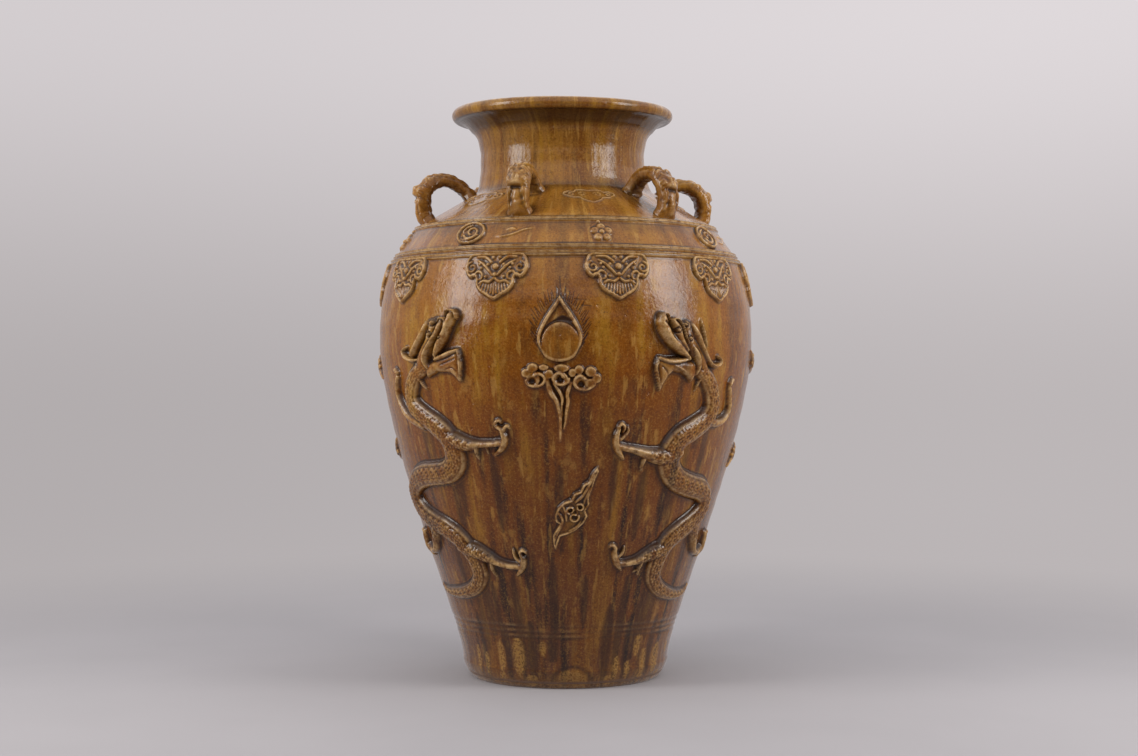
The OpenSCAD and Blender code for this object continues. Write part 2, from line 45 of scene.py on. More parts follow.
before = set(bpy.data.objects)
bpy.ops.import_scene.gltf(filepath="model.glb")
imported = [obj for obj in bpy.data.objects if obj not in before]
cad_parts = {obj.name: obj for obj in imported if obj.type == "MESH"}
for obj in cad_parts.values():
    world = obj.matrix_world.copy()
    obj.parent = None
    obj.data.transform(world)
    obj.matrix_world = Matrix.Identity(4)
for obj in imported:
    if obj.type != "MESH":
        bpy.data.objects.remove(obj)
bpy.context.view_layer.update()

BODY = "root"
SHARP_DEG = 50
MM = 0.001


def top_mm(node):
    """Height of a CAD node's top, in millimetres."""
    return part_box(node)[1][2] / MM


def reach_mm(node):
    """Largest radius of a CAD node that goes all round the axis, in millimetres."""
    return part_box(node)[1][0] / MM


# Levels of the seams and radii of the sections, from the frame, in millimetres
FOOT_H = top_mm("base_disc")
LOWER_Z = top_mm("lower_wall")
BELLY_Z = top_mm("middle_wall")
COLLAR_Z = top_mm("upper_wall")
SHOULDER_Z = top_mm("collar_band")
NECK_Z = top_mm("shoulder")
LIP_Z = top_mm("neck")
JAR_H = top_mm("lip")
FOOT_R = reach_mm("base_disc")
BELLY_R = reach_mm("middle_wall")
COLLAR_R = reach_mm("collar_band")
SHOULDER_R = reach_mm("shoulder")
LIP_R = reach_mm("lip")

# The photograph's point of view in pixels, and the eye's height in mm
PHOTO_W = 1138
FOCAL_PX = 1800
AXIS_X_PX = 565.5
MM_PER_PX = 1.157
EYE_Z = 341.3
SENSOR_MM = 36

# Where the two pairs of dragons are, with their turns in degrees
SIDES = (("front", 0), ("back", 180))


class JarSizes(bpy.types.PropertyGroup):
    """Sizes of the thrown jar that the frame doesn't give, in millimetres"""

    rest_r: FloatProperty(name="Foot radius", description="Radius of the face it rests on", default=106)
    neck_r: FloatProperty(name="Neck root radius", description="Radius where it leaves the shoulder",
                          default=104)
    throat_r: FloatProperty(name="Throat radius", description="Least outer radius of the neck", default=95.3)
    bore_r: FloatProperty(name="Bore radius", description="Inner radius of the throat", default=86)
    wall_t: FloatProperty(name="Wall", description="Thickness of the wall", default=9)
    floor_t: FloatProperty(name="Floor", description="Thickness of the floor", default=14)
    segments: IntProperty(name="Segments", description="Faces round the jar", default=384, min=48)
    ripple: FloatProperty(name="Throwing rings", description="Depth of the throwing rings", default=0.16)
    wobble: FloatProperty(name="Wobble", description="How far the wall strays from round", default=0.8)
    lean: FloatProperty(name="Lean", description="How far the neck leans to the left", default=3.5)


class ReliefSizes(bpy.types.PropertyGroup):
    """Sizes of the applied clay, in millimetres"""

    grain: FloatProperty(name="Grain", description="Spacing of the points of a dragon", default=0.9, min=0.4)
    fine_grain: FloatProperty(name="Fine grain", description="Spacing of the points of a small relief",
                              default=0.65, min=0.3)
    melt: FloatProperty(name="Melt", description="How far glaze rounds the edges of the clay", default=0.6)
    skirt: FloatProperty(name="Skirt", description="Width of the glaze that runs out round it", default=5)
    lug_w: FloatProperty(name="Lug width", description="Width of a mask lug", default=27)
    lug_rise: FloatProperty(name="Lug rise", description="Rise of a lug over the shoulder", default=34)


class GlazeColours(bpy.types.PropertyGroup):
    """Colours of the ash glaze, from where it lies thin to where it pools; the crest also paints highlights
    on edges and the pool also paints shade
    """

    ochre: FloatVectorProperty(name="Ochre", description="Where the glaze is thin over raised clay",
                               subtype="COLOR", default=(0.46, 0.24, 0.05), min=0, max=1)
    wash: FloatVectorProperty(name="Wash", description="Over broad raised clay",
                              subtype="COLOR", default=(0.36, 0.170, 0.020), min=0, max=1)
    # Crest: partly glaze thinned over edges, partly a painted highlight on raised edges
    crest_and_highlight: FloatVectorProperty(name="Crest", description="Where the glaze has run off an edge",
                               subtype="COLOR", default=(0.56, 0.345, 0.14), min=0, max=1)
    olive: FloatVectorProperty(name="Olive", description="Yellowish clouds in the glaze",
                               subtype="COLOR", default=(0.37, 0.178, 0.016), min=0, max=1)
    rust: FloatVectorProperty(name="Rust", description="Red-brown clouds in the glaze",
                              subtype="COLOR", default=(0.16, 0.046, 0.004), min=0, max=1)
    # Pool is also the colour of painted shade round the reliefs, under the lugs and under the rolled lip
    pool: FloatVectorProperty(name="Pool", description="Where the glaze gathers in hollows",
                              subtype="COLOR", default=(0.022, 0.011, 0.009), min=0, max=1)
    clay: FloatVectorProperty(name="Clay", description="The bare clay inside and under the foot",
                              subtype="COLOR", default=(0.20, 0.12, 0.08), min=0, max=1)


def unit_rows(v):
    """Rows of v at length one."""
    return v / np.linalg.norm(v, axis=1, keepdims=True)


def bezier(a, b, c, d, n):
    """n + 1 points of a cubic curve with handles b and c."""
    t = np.linspace(0, 1, n + 1)[:, None]
    s = 1 - t
    a, b, c, d = (np.array(p, float) for p in (a, b, c, d))
    return s**3 * a + 3 * s * s * t * b + 3 * s * t * t * c + t**3 * d


def smoothstep(x):
    """0 below 0, 1 above 1, and smooth between."""
    x = np.clip(x, 0, 1)
    return x * x * (3 - 2 * x)


def bell(x, middle, width):
    """A bump of height one about a middle."""
    return np.exp(-(((x - middle) / width) ** 2))


def between(x, low, high, soft):
    """One between two levels, falling to nothing over a soft border."""
    return smoothstep((x - low) / soft + 0.5) * smoothstep((high - x) / soft + 0.5)


def blur(a, down, across):
    """a softened by Gaussian weights, with a spread in rows and in columns."""
    for axis, spread in ((0, down), (1, across)):
        n = max(int(3 * spread), 1)
        taps = np.exp(-0.5 * (np.arange(-n, n + 1) / max(spread, 0.01)) ** 2)
        taps /= taps.sum()
        pad = [(n, n) if k == axis else (0, 0) for k in (0, 1)]
        wide = np.pad(a, pad, mode="edge")
        size = a.shape[axis]
        a = sum(w * np.take(wide, np.arange(i, i + size), axis) for i, w in enumerate(taps))
    return a


def glide(pts, k):
    """A smooth run through rows of points, with k steps to each span."""
    p = np.vstack([pts[:1], pts, pts[-1:]])
    t = (np.arange(k) / k)[:, None]
    out = []
    for i in range(len(pts) - 1):
        a, b, c, d = p[i:i + 4]
        out.append(0.5 * (2 * b + (c - a) * t + (2 * a - 5 * b + 4 * c - d) * t * t
                          + (3 * b - a - 3 * c + d) * t**3))
    return np.vstack(out + [pts[-1:]])


# Grooves over the foot, the throat's rise over the shoulder, and how far it flares out to the lip, in mm
GROOVES = (69.4, 63.2, 57.4)
GROOVE_DEPTH = 0.8
GROOVE_W = 1.5
THROAT_RISE = 38
NECK_FLARE = 10.7
BORE_FLARE = 0.2


def outer_line(sizes):
    """Outer line of the wall from foot to lip, as rows of radius and height in mm."""
    throat_z = NECK_Z + THROAT_RISE
    throat = sizes.throat_r
    foot, belly, collar = (FOOT_R, FOOT_H), (BELLY_R, BELLY_Z), (COLLAR_R, COLLAR_Z)
    shoulder, neck = (SHOULDER_R, SHOULDER_Z), (sizes.neck_r, NECK_Z)
    waist, lip = (throat, throat_z), (throat + NECK_FLARE, LIP_Z)
    line = np.vstack([bezier(foot, (FOOT_R - 4.4, FOOT_H + 23), (BELLY_R, BELLY_Z - 109), belly, 300),
                      bezier(belly, (BELLY_R, BELLY_Z + 40), (COLLAR_R + 8.8, COLLAR_Z - 22), collar, 90)[1:],
                      bezier(collar, (COLLAR_R - 8.5, COLLAR_Z + 13), (SHOULDER_R + 9.2, SHOULDER_Z - 13),
                             shoulder, 40)[1:], bezier(shoulder, (SHOULDER_R - 23, SHOULDER_Z + 13.4),
                                                       (neck[0] + 22, NECK_Z - 12.4), neck, 60)[1:],
                      bezier(neck, (throat + 3, NECK_Z + 4), (throat, throat_z - 8), waist, 50)[1:],
                      bezier(waist, (throat, throat_z + 7), (throat, LIP_Z - 7), lip, 40)[1:]])
    z = line[:, 1]
    on_body = smoothstep((z - 30) / 40) * (1 - smoothstep((z - COLLAR_Z + 30) / 25))
    line[:, 0] += sizes.ripple * on_body * np.sin(z / 4.1 + 1.7 * np.sin(z / 37))
    on_neck = smoothstep((z - NECK_Z - 8) / 8) * (1 - smoothstep((z - LIP_Z + 8) / 6))
    line[:, 0] += 1.4 * sizes.ripple * on_neck * np.sin(z / 3.1)
    for g in GROOVES:
        line[:, 0] -= GROOVE_DEPTH * bell(z, g, GROOVE_W)
    return line


class Wall:
    """The outside of the jar by arc length: radius, height and normal, in mm"""

    def __init__(self, sizes):
        self.sizes = sizes
        line = outer_line(sizes)
        self.s = np.concatenate([[0], np.cumsum(np.hypot(*np.diff(line, axis=0).T))])
        self.r, self.z = line.T
        run = np.stack([np.gradient(self.r, self.s), np.gradient(self.z, self.s)], 1)
        for _ in range(6):
            run[1:-1] = (run[:-2] + 2 * run[1:-1] + run[2:]) / 4
        run = unit_rows(run)
        self.nr, self.nz = run[:, 1], -run[:, 0]

    def s_at(self, z):
        """Arc length at a height."""
        return np.interp(z, self.z, self.s)

    def r_at(self, z):
        """Radius at a height."""
        return np.interp(z, self.z, self.r)

    def place(self, angle, s, lift):
        """Points over the wall at angles in degrees, arc lengths and lifts, in mm."""
        r = np.interp(s, self.s, self.r) + lift * np.interp(s, self.s, self.nr)
        z = np.interp(s, self.s, self.z) + lift * np.interp(s, self.s, self.nz)
        a = np.radians(angle)
        return np.stack([r * np.sin(a), -r * np.cos(a), z], -1)

    def warp(self, co):
        """Throws points in mm slightly out of round and leans the neck."""
        x, y, z = co.T
        a = np.arctan2(x, -y)
        stray = self.sizes.wobble * (0.5 * np.sin(2 * a + 0.6 + z / 300) + 0.25 * np.sin(3 * a - z / 120)
                                     + 0.15 * np.sin(5 * a + z / 70 + 1) + 0.1 * np.sin(9 * a - z / 45) - 1)
        r = np.hypot(x, y) + 1e-6
        grow = 1 + stray * smoothstep(z / 60) * smoothstep(r / 60) / r
        up = smoothstep((z - NECK_Z + 20) / 60)
        tip = smoothstep((z - LIP_Z + 5) / 25)
        drop = tip * (0.7 + 0.7 * np.sin(2 * a + 0.9))
        return np.stack([x * grow - self.sizes.lean * up, y * grow, z - drop], -1)


def new_mesh(name, co, faces, values):
    """A smooth mesh from points in mm, arrays of faces and named values at the points."""
    mesh = bpy.data.meshes.new(name)
    corners = np.concatenate([f.ravel() for f in faces]).astype(np.int32)
    counts = np.concatenate([np.full(len(f), f.shape[1]) for f in faces])
    starts = (np.cumsum(counts) - counts).astype(np.int32)
    mesh.vertices.add(len(co))
    mesh.vertices.foreach_set("co", (co * MM).astype(np.float32).ravel())
    mesh.loops.add(len(corners))
    mesh.loops.foreach_set("vertex_index", corners)
    mesh.polygons.add(len(counts))
    mesh.polygons.foreach_set("loop_start", starts)
    mesh.update(calc_edges=True)
    mesh.polygons.foreach_set("use_smooth", np.ones(len(counts), bool))
    for key, value in values.items():
        store = mesh.attributes.new(key, "FLOAT", "POINT")
        store.data.foreach_set("value", value.astype(np.float32).ravel())
    mesh.validate()
    return mesh


def new_object(name, mesh):
    """An object at the origin that holds a mesh."""
    obj = bpy.data.objects.new(name, mesh)
    bpy.context.scene.collection.objects.link(obj)
    return obj


def points_of(mesh):
    """The points of a mesh, in mm."""
    co = np.empty(len(mesh.vertices) * 3, np.float32)
    mesh.vertices.foreach_get("co", co)
    return co.reshape(-1, 3).astype(float) / MM


def move_points(mesh, co):
    """Puts the points of a mesh at places in mm."""
    mesh.vertices.foreach_set("co", (co * MM).astype(np.float32).ravel())
    mesh.update()


def numbered(stem, count):
    """Names of CAD nodes that are numbered from one."""
    return [f"{stem}_{k}" for k in range(1, count + 1)]


class Graph:
    """A node tree that is written down as a chain of calls"""

    def __init__(self, tree):
        self.tree = tree

    def add(self, kind, inputs=None, **settings):
        """A node with its settings, and its inputs set or linked by name or number."""
        node = self.tree.nodes.new(kind)
        for key, value in settings.items():
            setattr(node, key, value)
        for key, value in (inputs or {}).items():
            self.feed(node.inputs[key], value)
        return node

    def feed(self, socket, value):
        """Links a socket, or sets its value."""
        if isinstance(value, bpy.types.NodeSocket):
            self.tree.links.new(value, socket)
        else:
            socket.default_value = value

    def math(self, operation, a, b=0.0, clamp=False):
        return self.add("ShaderNodeMath", {0: a, 1: b}, operation=operation, use_clamp=clamp).outputs[0]

    def plus(self, a, b):
        return self.math("ADD", a, b)

    def times(self, a, b):
        return self.math("MULTIPLY", a, b)

    def vector(self, operation, a, b=(0, 0, 0)):
        return self.add("ShaderNodeVectorMath", {0: a, 1: b}, operation=operation).outputs[0]

    def noise(self, vector, scale, detail=4.0, rough=0.55):
        inputs = {"Vector": vector, "Scale": scale, "Detail": detail, "Roughness": rough}
        return self.add("ShaderNodeTexNoise", inputs).outputs[0]

    def range(self, value, low, high, to_low=0.0, to_high=1.0):
        """A value that goes smoothly from to_low to to_high while another goes from low to high."""
        return self.add("ShaderNodeMapRange", {0: value, 1: low, 2: high, 3: to_low, 4: to_high},
                        interpolation_type="SMOOTHSTEP").outputs[0]

    def blend(self, share, a, b, kind="MIX"):
        """Colour a with a share of colour b."""
        node = self.add("ShaderNodeMix", data_type="RGBA", blend_type=kind)
        for key, value in ((0, share), (6, a), (7, b)):
            self.feed(node.inputs[key], value)
        return node.outputs[2]

    def ramp(self, value, stops):
        """Colours by value, from stops of place and colour."""
        node = self.add("ShaderNodeValToRGB", {0: value})
        band = node.color_ramp
        while len(band.elements) < len(stops):
            band.elements.new(1)
        for element, (place, colour) in zip(band.elements, stops):
            element.position = place
            element.color = (*colour, 1)
        return node.outputs[0]


def with_tree(obj, tree, inputs):
    """The mesh that a node tree makes of an object, with the tree's inputs set."""
    step = obj.modifiers.new("Shape", "NODES")
    step.node_group = tree
    for item in tree.interface.items_tree:
        if item.item_type == "SOCKET" and item.in_out == "INPUT" and item.name in inputs:
            step[item.identifier] = inputs[item.name]
    shaped = obj.evaluated_get(bpy.context.evaluated_depsgraph_get())
    mesh = bpy.data.meshes.new_from_object(shaped)
    obj.modifiers.remove(step)
    rough = obj.data
    obj.data = mesh
    mesh.name = obj.name
    bpy.data.meshes.remove(rough)
    return mesh


def geometry_tree(name, sockets):
    """An empty geometry tree with a mesh, named sizes and a finish to take in, and its two end nodes."""
    tree = bpy.data.node_groups.new(name, "GeometryNodeTree")
    tree.interface.new_socket("Geometry", in_out="OUTPUT", socket_type="NodeSocketGeometry")
    for key, kind in (("Geometry", "Geometry"), *sockets, ("Material", "Material")):
        tree.interface.new_socket(key, in_out="INPUT", socket_type="NodeSocket" + kind)
    graph = Graph(tree)
    return graph, graph.add("NodeGroupInput"), graph.add("NodeGroupOutput")


def end_tree(graph, end, mesh, given):
    """Ends a tree with real geometry that carries its finish."""
    real = graph.add("GeometryNodeRealizeInstances", {0: mesh})
    finish = given.outputs["Material"]
    done = graph.add("GeometryNodeSetMaterial", {"Geometry": real.outputs[0], "Material": finish})
    graph.feed(end.inputs[0], done.outputs[0])


def throwing_tree():
    """Turns a closed section round the axis, as a potter's wheel does."""
    graph, given, end = geometry_tree("Thrown section", [("Segments", "Int")])
    section = given.outputs["Geometry"]
    rows = graph.add("GeometryNodeAttributeDomainSize", {0: section}).outputs["Point Count"]
    columns = graph.plus(given.outputs["Segments"], 1)
    sheet = graph.add("GeometryNodeMeshGrid", {"Vertices X": columns, "Vertices Y": rows}).outputs[0]
    index = graph.add("GeometryNodeInputIndex").outputs[0]
    column = graph.math("FLOOR", graph.math("DIVIDE", graph.plus(index, 0.5), rows))
    row = graph.math("SUBTRACT", index, graph.times(column, rows))
    place = graph.add("GeometryNodeInputPosition").outputs[0]
    found = graph.add("GeometryNodeSampleIndex", data_type="FLOAT_VECTOR", domain="POINT")
    graph.feed(found.inputs[0], section)
    graph.feed(found.inputs["Value"], place)
    graph.feed(found.inputs["Index"], row)
    turn = graph.times(graph.math("DIVIDE", column, given.outputs["Segments"]), 2 * math.pi)
    turned = graph.add("ShaderNodeVectorRotate", {"Vector": found.outputs[0], "Angle": turn},
                       rotation_type="Z_AXIS").outputs[0]
    thrown = graph.add("GeometryNodeSetPosition", {"Geometry": sheet, "Position": turned}).outputs[0]
    closed = graph.add("GeometryNodeMergeByDistance", {"Geometry": thrown, "Distance": 1e-5}).outputs[0]
    smooth = graph.add("GeometryNodeSetShadeSmooth", {"Geometry": closed, "Shade Smooth": True}).outputs[0]
    end_tree(graph, end, smooth, given)
    return graph.tree


def ring_tree():
    """Sets copies of a piece at even turns round the axis."""
    graph, given, end = geometry_tree("Ring of copies", [("Count", "Int"), ("First turn", "Float")])
    count = given.outputs["Count"]
    line = graph.add("GeometryNodeMeshLine", {"Count": count, "Offset": (0, 0, 0)}).outputs[0]
    index = graph.add("GeometryNodeInputIndex").outputs[0]
    turn = graph.plus(graph.times(graph.math("DIVIDE", index, count), 2 * math.pi),
                      given.outputs["First turn"])
    spin = graph.add("ShaderNodeCombineXYZ", {2: turn}).outputs[0]
    copies = graph.add("GeometryNodeInstanceOnPoints", {"Points": line, "Instance": given.outputs["Geometry"],
                                                        "Rotation": spin}).outputs[0]
    end_tree(graph, end, copies, given)
    return graph.tree


# A relief's mesh: grid steps to a cell, then in mm the reach and height of an edge, the border over and
# under the wall, the back, the reach of the dark line above upper edges (pooled glaze and painted shade) and
# the least clay that counts
BLOCK = 4
EDGE_SPREAD = 2.2
EDGE_HEIGHT = 1.0
SKIRT_LIFT = 0.07
SKIRT_SINK = 0.16
BACK_DEPTH = 1.2
LEDGE = 3.2
LEAST_CLAY = 0.05


class Relief:
    """Clay laid on the wall, kept as heights in mm over a grid of angle and arc length"""

    def __init__(self, wall, angles, heights, grain):
        self.wall = wall
        s0, s1 = wall.s_at(heights[0]), wall.s_at(heights[1])
        self.mid = sum(angles) / 2
        wide = math.radians(angles[1] - angles[0]) * np.interp((s0 + s1) / 2, wall.s, wall.r)
        rows = max(int((s1 - s0) / grain) // BLOCK, 2) * BLOCK + 1
        columns = max(int(wide / grain) // BLOCK, 2) * BLOCK + 1
        self.a = np.linspace(angles[0], angles[1], columns)
        self.s = np.linspace(s0, s1, rows)
        self.r = np.interp(self.s, wall.s, wall.r)[:, None]
        self.x = np.radians(self.a - self.mid)[None, :] * self.r
        self.y = np.repeat(self.s[:, None], columns, 1)
        self.h = np.zeros(self.x.shape)
        self.swell = np.zeros(self.x.shape)
        self.ink = np.zeros(self.x.shape)

    def at(self, angle, z):
        """Place on the grid, in mm, of an angle and a height."""
        s = self.wall.s_at(z)
        return np.radians(angle - self.mid) * np.interp(s, self.wall.s, self.wall.r), s

    def window(self, x0, x1, y0, y1):
        """The part of the grid that holds a box in mm."""
        rows = slice(np.searchsorted(self.s, y0), np.searchsorted(self.s, y1) + 1)
        r = self.r[rows, 0]
        if not len(r):
            return rows, slice(0, 0)
        a0 = self.mid + np.degrees(min(x0 / r.min(), x0 / r.max()))
        a1 = self.mid + np.degrees(max(x1 / r.min(), x1 / r.max()))
        return rows, slice(np.searchsorted(self.a, a0), np.searchsorted(self.a, a1) + 1)

    def trace(self, line):
        """How points lie to a line of [x, y, half width, height]: share, side, run, half width, height."""
        near = np.full(self.h.shape, 9.0)
        side, run, wide, high = (np.zeros(self.h.shape) for _ in range(4))
        wide += 1
        length = 0.0
        for p, q in zip(line[:-1], line[1:]):
            d = q[:2] - p[:2]
            size = math.hypot(*d)
            if size < 1e-6:
                continue
            m = max(p[2], q[2])
            low, high_end = np.minimum(p, q) - m, np.maximum(p, q) + m
            box = self.window(low[0], high_end[0], low[1], high_end[1])
            x, y = self.x[box] - p[0], self.y[box] - p[1]
            t = np.clip((x * d[0] + y * d[1]) / size**2, 0, 1)
            w = p[2] + t * (q[2] - p[2])
            away = np.hypot(x - t * d[0], y - t * d[1]) / w
            won = away < near[box]
            near[box] = np.where(won, away, near[box])
            across = (y * d[0] - x * d[1]) / size / w
            side[box] = np.where(won, across, side[box])
            run[box] = np.where(won, length + t * size, run[box])
            wide[box] = np.where(won, w, wide[box])
            high[box] = np.where(won, p[3] + t * (q[3] - p[3]), high[box])
            length += size
        return near, side, run, wide, high

    def line(self, pts, k=5):
        """A smooth line through [angle, height, half width, thickness] points."""
        rows = np.array([(*self.at(a, z), w, h) for a, z, w, h in pts])
        return glide(rows, k) if k > 1 else rows

    def lay(self, h, over=0.0):
        """Lays clay of height h; where it lies over other clay it is raised by over."""
        on = h > 0
        under = np.where(on, self.h, 0)
        self.h = np.maximum(self.h, np.where(on, h + over * smoothstep(under / 3), h))

    def stroke(self, pts, skin=None, k=5, full=2.2, over=0.0):
        """Lays a ridge of clay along a line. skin(side, run, width) adds detail in mm."""
        near, side, run, wide, high = self.trace(self.line(pts, k))
        dome = np.clip(1 - np.clip(near, 0, 1) ** full, 0, 1) ** 0.5
        h = high * dome
        if skin:
            h = h + np.where(near < 1, skin(side, run, wide) * smoothstep(dome * 2), 0)
        self.lay(np.where(near < 1, h, 0), over)

    def bump(self, angle, z, radius, high, over=True):
        """Adds a round bump, or a pit where high is negative, on what is there."""
        x, y = self.at(angle, z)
        box = self.window(x - radius, x + radius, y - radius, y + radius)
        away = np.hypot(self.x[box] - x, self.y[box] - y) / radius
        dome = np.sqrt(np.clip(1 - away**2, 0, 1)) if high > 0 else smoothstep(1 - away)
        self.h[box] = self.h[box] + high * dome if over else np.maximum(self.h[box], high * dome)

    def cut(self, pts, deep):
        """Presses a groove along a line of [angle, height, half width]."""
        near = self.trace(self.line([(a, z, w, 1) for a, z, w in pts]))[0]
        self.h -= deep * smoothstep(1 - near) * smoothstep(self.h / (deep + 0.4))

    def scratch(self, pts):
        """Scratches a thin line into the swell of the glaze, where dark glaze settles."""
        near = self.trace(self.line(pts, 2))[0]
        mark = smoothstep(1.3 - near)
        self.swell *= 1 - 0.85 * mark
        self.ink = np.maximum(self.ink, mark)

    def plate(self, outline, high, soft):
        """Lays a flat piece of clay with a rounded border inside a closed outline of [angle, height]."""
        deep = np.clip(self.inside(outline) / soft, 0, 1)
        self.lay(high * np.sqrt(1 - (1 - deep) ** 2))

    def rim(self, deep, high, inset, half, power=0.6):
        """Lays a raised rim of a half width, inset from an outline that points lie deep inside of."""
        self.lay(np.where(deep > 0, high * np.clip(1 - ((deep - inset) / half) ** 2, 0, 1) ** power, 0))

    def petal(self, angle, z, wide, tall, high=4.4):
        """Lays a round petal with a raised border round a lower middle."""
        x, y = self.at(angle, z)
        share = np.hypot((self.x - x) / wide, (self.y - y) / tall)
        deep = (1 - share) * min(wide, tall)
        self.lay(0.86 * high * smoothstep(deep / 1.1))
        self.rim(deep, high, 1.1, 1.2)

    def inside(self, outline):
        """Distance in mm from a closed outline of [angle, height], positive inside it."""
        pts = np.array([self.at(a, z) for a, z in outline])
        nxt = np.roll(pts, -1, 0)
        best = np.full(self.h.shape, 1e9)
        within = np.zeros(self.h.shape, bool)
        for p, q in zip(pts, nxt):
            d = q - p
            x, y = self.x - p[0], self.y - p[1]
            t = np.clip((x * d[0] + y * d[1]) / max(d @ d, 1e-9), 0, 1)
            best = np.minimum(best, np.hypot(x - t * d[0], y - t * d[1]))
            crosses = (p[1] > self.y) != (q[1] > self.y)
            with np.errstate(divide="ignore", invalid="ignore"):
                cross_x = p[0] + (self.y - p[1]) / (q[1] - p[1]) * (q[0] - p[0])
            within ^= crosses & (self.x < cross_x)
        return np.where(within, best, -best)

    def mesh(self, name, melt, skirt, turn=0.0, warped=True):
        """The closed mesh of the clay, with its thin edges (partly painted highlight), its pools (partly
        painted shade) and where it is raised.
        """
        down = 1 / (self.s[1] - self.s[0])
        across = 1 / (np.radians(self.a[1] - self.a[0]) * self.r.mean())
        soft = blur(np.clip(self.h, 0, None), melt * down, melt * across)
        wide = blur(soft, EDGE_SPREAD * down, EDGE_SPREAD * across)
        laid = (self.h > LEAST_CLAY) | (self.swell > LEAST_CLAY)
        reach = blur(laid.astype(float), skirt / 2 * down, skirt / 2 * across)
        raised = smoothstep(soft / 1.2)
        rise = (soft - wide) / EDGE_HEIGHT
        fade = smoothstep((reach - 0.05) / 0.15)
        thin = blur(self.swell, 1.6 * down, 1.6 * across) - self.swell
        # The dark line above the upper edges is partly glaze that gathers there and partly painted shade
        rows_up = max(int(round(LEDGE * down)), 1)
        ledge_pool_and_shade = np.clip((np.roll(soft, rows_up, 0) - soft) / 3, 0, 1)
        rough = np.clip(self.h, 0, None)
        dots = np.clip((blur(rough, 1.1 * down, 1.1 * across) - rough) / 0.5, 0, 1) * raised
        # Darkening round the foot of the clay and above its upper edges is partly pooled glaze, partly
        # painted shade; the pressed dots and scratches are pooled glaze
        pool = 0.55 * np.clip(-rise, 0, 1) + 0.9 * ledge_pool_and_shade + 0.6 * dots + 2.4 * thin
        pool = np.clip(np.clip(pool, 0, 1) * fade + 0.9 * self.ink * fade, 0, 1)
        lift = np.clip(soft + self.swell, 0, None) - SKIRT_SINK
        lift += (SKIRT_SINK + SKIRT_LIFT) * smoothstep(reach / 0.12)
        rows, columns = self.h.shape
        keep = np.zeros(((rows - 1) // BLOCK, (columns - 1) // BLOCK), bool)
        grid = reach > 0.012
        for i in range(BLOCK + 1):
            for j in range(BLOCK + 1):
                corner = grid[i:rows - BLOCK + i:BLOCK, j:columns - BLOCK + j:BLOCK]
                keep |= corner[:keep.shape[0], :keep.shape[1]]
        touch = keep[:-1, :-1] & keep[1:, 1:] & ~keep[1:, :-1] & ~keep[:-1, 1:]
        keep[1:, :-1] |= touch
        touch = keep[1:, :-1] & keep[:-1, 1:] & ~keep[:-1, :-1] & ~keep[1:, 1:]
        keep[:-1, :-1] |= touch
        cells = np.repeat(np.repeat(keep, BLOCK, 0), BLOCK, 1)
        front = np.arange(rows * columns).reshape(rows, columns)
        quads = np.stack([front[:-1, :-1], front[:-1, 1:], front[1:, 1:], front[1:, :-1]], -1)[cells]
        angle, s = np.meshgrid(self.a, self.s)
        co = self.wall.place(angle + turn, s, lift).reshape(-1, 3)
        back_a, back_s = np.meshgrid(self.a[::BLOCK], self.s[::BLOCK])
        back_co = self.wall.place(back_a + turn, back_s, np.full(back_a.shape, -BACK_DEPTH)).reshape(-1, 3)
        back = len(co) + np.arange(back_a.size).reshape(back_a.shape)
        backs = np.stack([back[:-1, :-1], back[1:, :-1], back[1:, 1:], back[:-1, 1:]], -1)[keep]
        padded = np.pad(keep, 1)
        sides = []
        for di, dj, a, b in ((-1, 0, (0, 0), (0, 1)), (1, 0, (1, 1), (1, 0)), (0, -1, (1, 0), (0, 0)),
                             (0, 1, (0, 1), (1, 1))):
            bare = ~padded[1 + di:padded.shape[0] - 1 + di, 1 + dj:padded.shape[1] - 1 + dj] & keep
            for i, j in np.argwhere(bare):
                k, m = (i + a[0]) * BLOCK, (j + a[1]) * BLOCK
                edge = [front[k + n * (b[0] - a[0]), m + n * (b[1] - a[1])] for n in range(BLOCK + 1)]
                sides.append([back[i + a[0], j + a[1]], back[i + b[0], j + b[1]], *edge[::-1]])
        values = [np.clip(rise, 0, 1) * raised, pool, raised]
        values = [np.concatenate([v.ravel(), np.zeros(len(back_co))]) for v in values]
        co = np.vstack([co, back_co])
        faces = [quads, backs, np.array(sides)]
        used = np.unique(np.concatenate([f.ravel() for f in faces]))
        renumber = np.zeros(len(co), int)
        renumber[used] = np.arange(len(used))
        co = co[used]
        if warped:
            co = self.wall.warp(co)
        return new_mesh(name, co, [renumber[f] for f in faces],
                        {key: v[used] for key, v in zip(("edge", "pool", "raised"), values)})


def stipple(seed, pitch=3.4, deep=1.0):
    """Skin of a dragon's body: a smooth raised border and rows of pressed dots between."""
    def skin(side, run, wide):
        u, v = run / pitch, side * wide / pitch
        row = np.floor(v)
        u = u + 0.5 * (row % 2) + 0.23 * np.sin(row * 1.9 + seed)
        x, y = u - np.floor(u) - 0.5, v - row - 0.5
        dots = np.clip(1 - (x * x + y * y) / 0.2, 0, 1)
        border = smoothstep((np.abs(side) - 0.60) / 0.12)
        ragged = 0.5 * np.sin(u * 2.3 + 1.3 * np.sin(v * 1.7 + seed)) * np.sin(v * 3.1 + seed)
        return deep * (dots - 0.4 + ragged) * (1 - border) - 0.9 * bell(np.abs(side), 0.66, 0.07)
    return skin


def combed(lines, deep=0.5, sweep=0.0):
    """Skin of a lock of hair: grooves that run along it."""
    def skin(side, run, wide):
        return deep * (np.cos((side + sweep * run / 30) * math.pi * lines) - 0.4)
    return skin


HAUNCH_DOTS = stipple(0.7, pitch=3.2, deep=1.3)


def limb_skin(side, run, wide):
    """Skin of a limb: pressed dots on the haunch and a low spine on the bare shin."""
    haunch = smoothstep((wide - 5.6) / 1.6)
    return haunch * HAUNCH_DOTS(side, run, wide) + (1 - haunch) * 0.6 * bell(side, -0.15, 0.3)


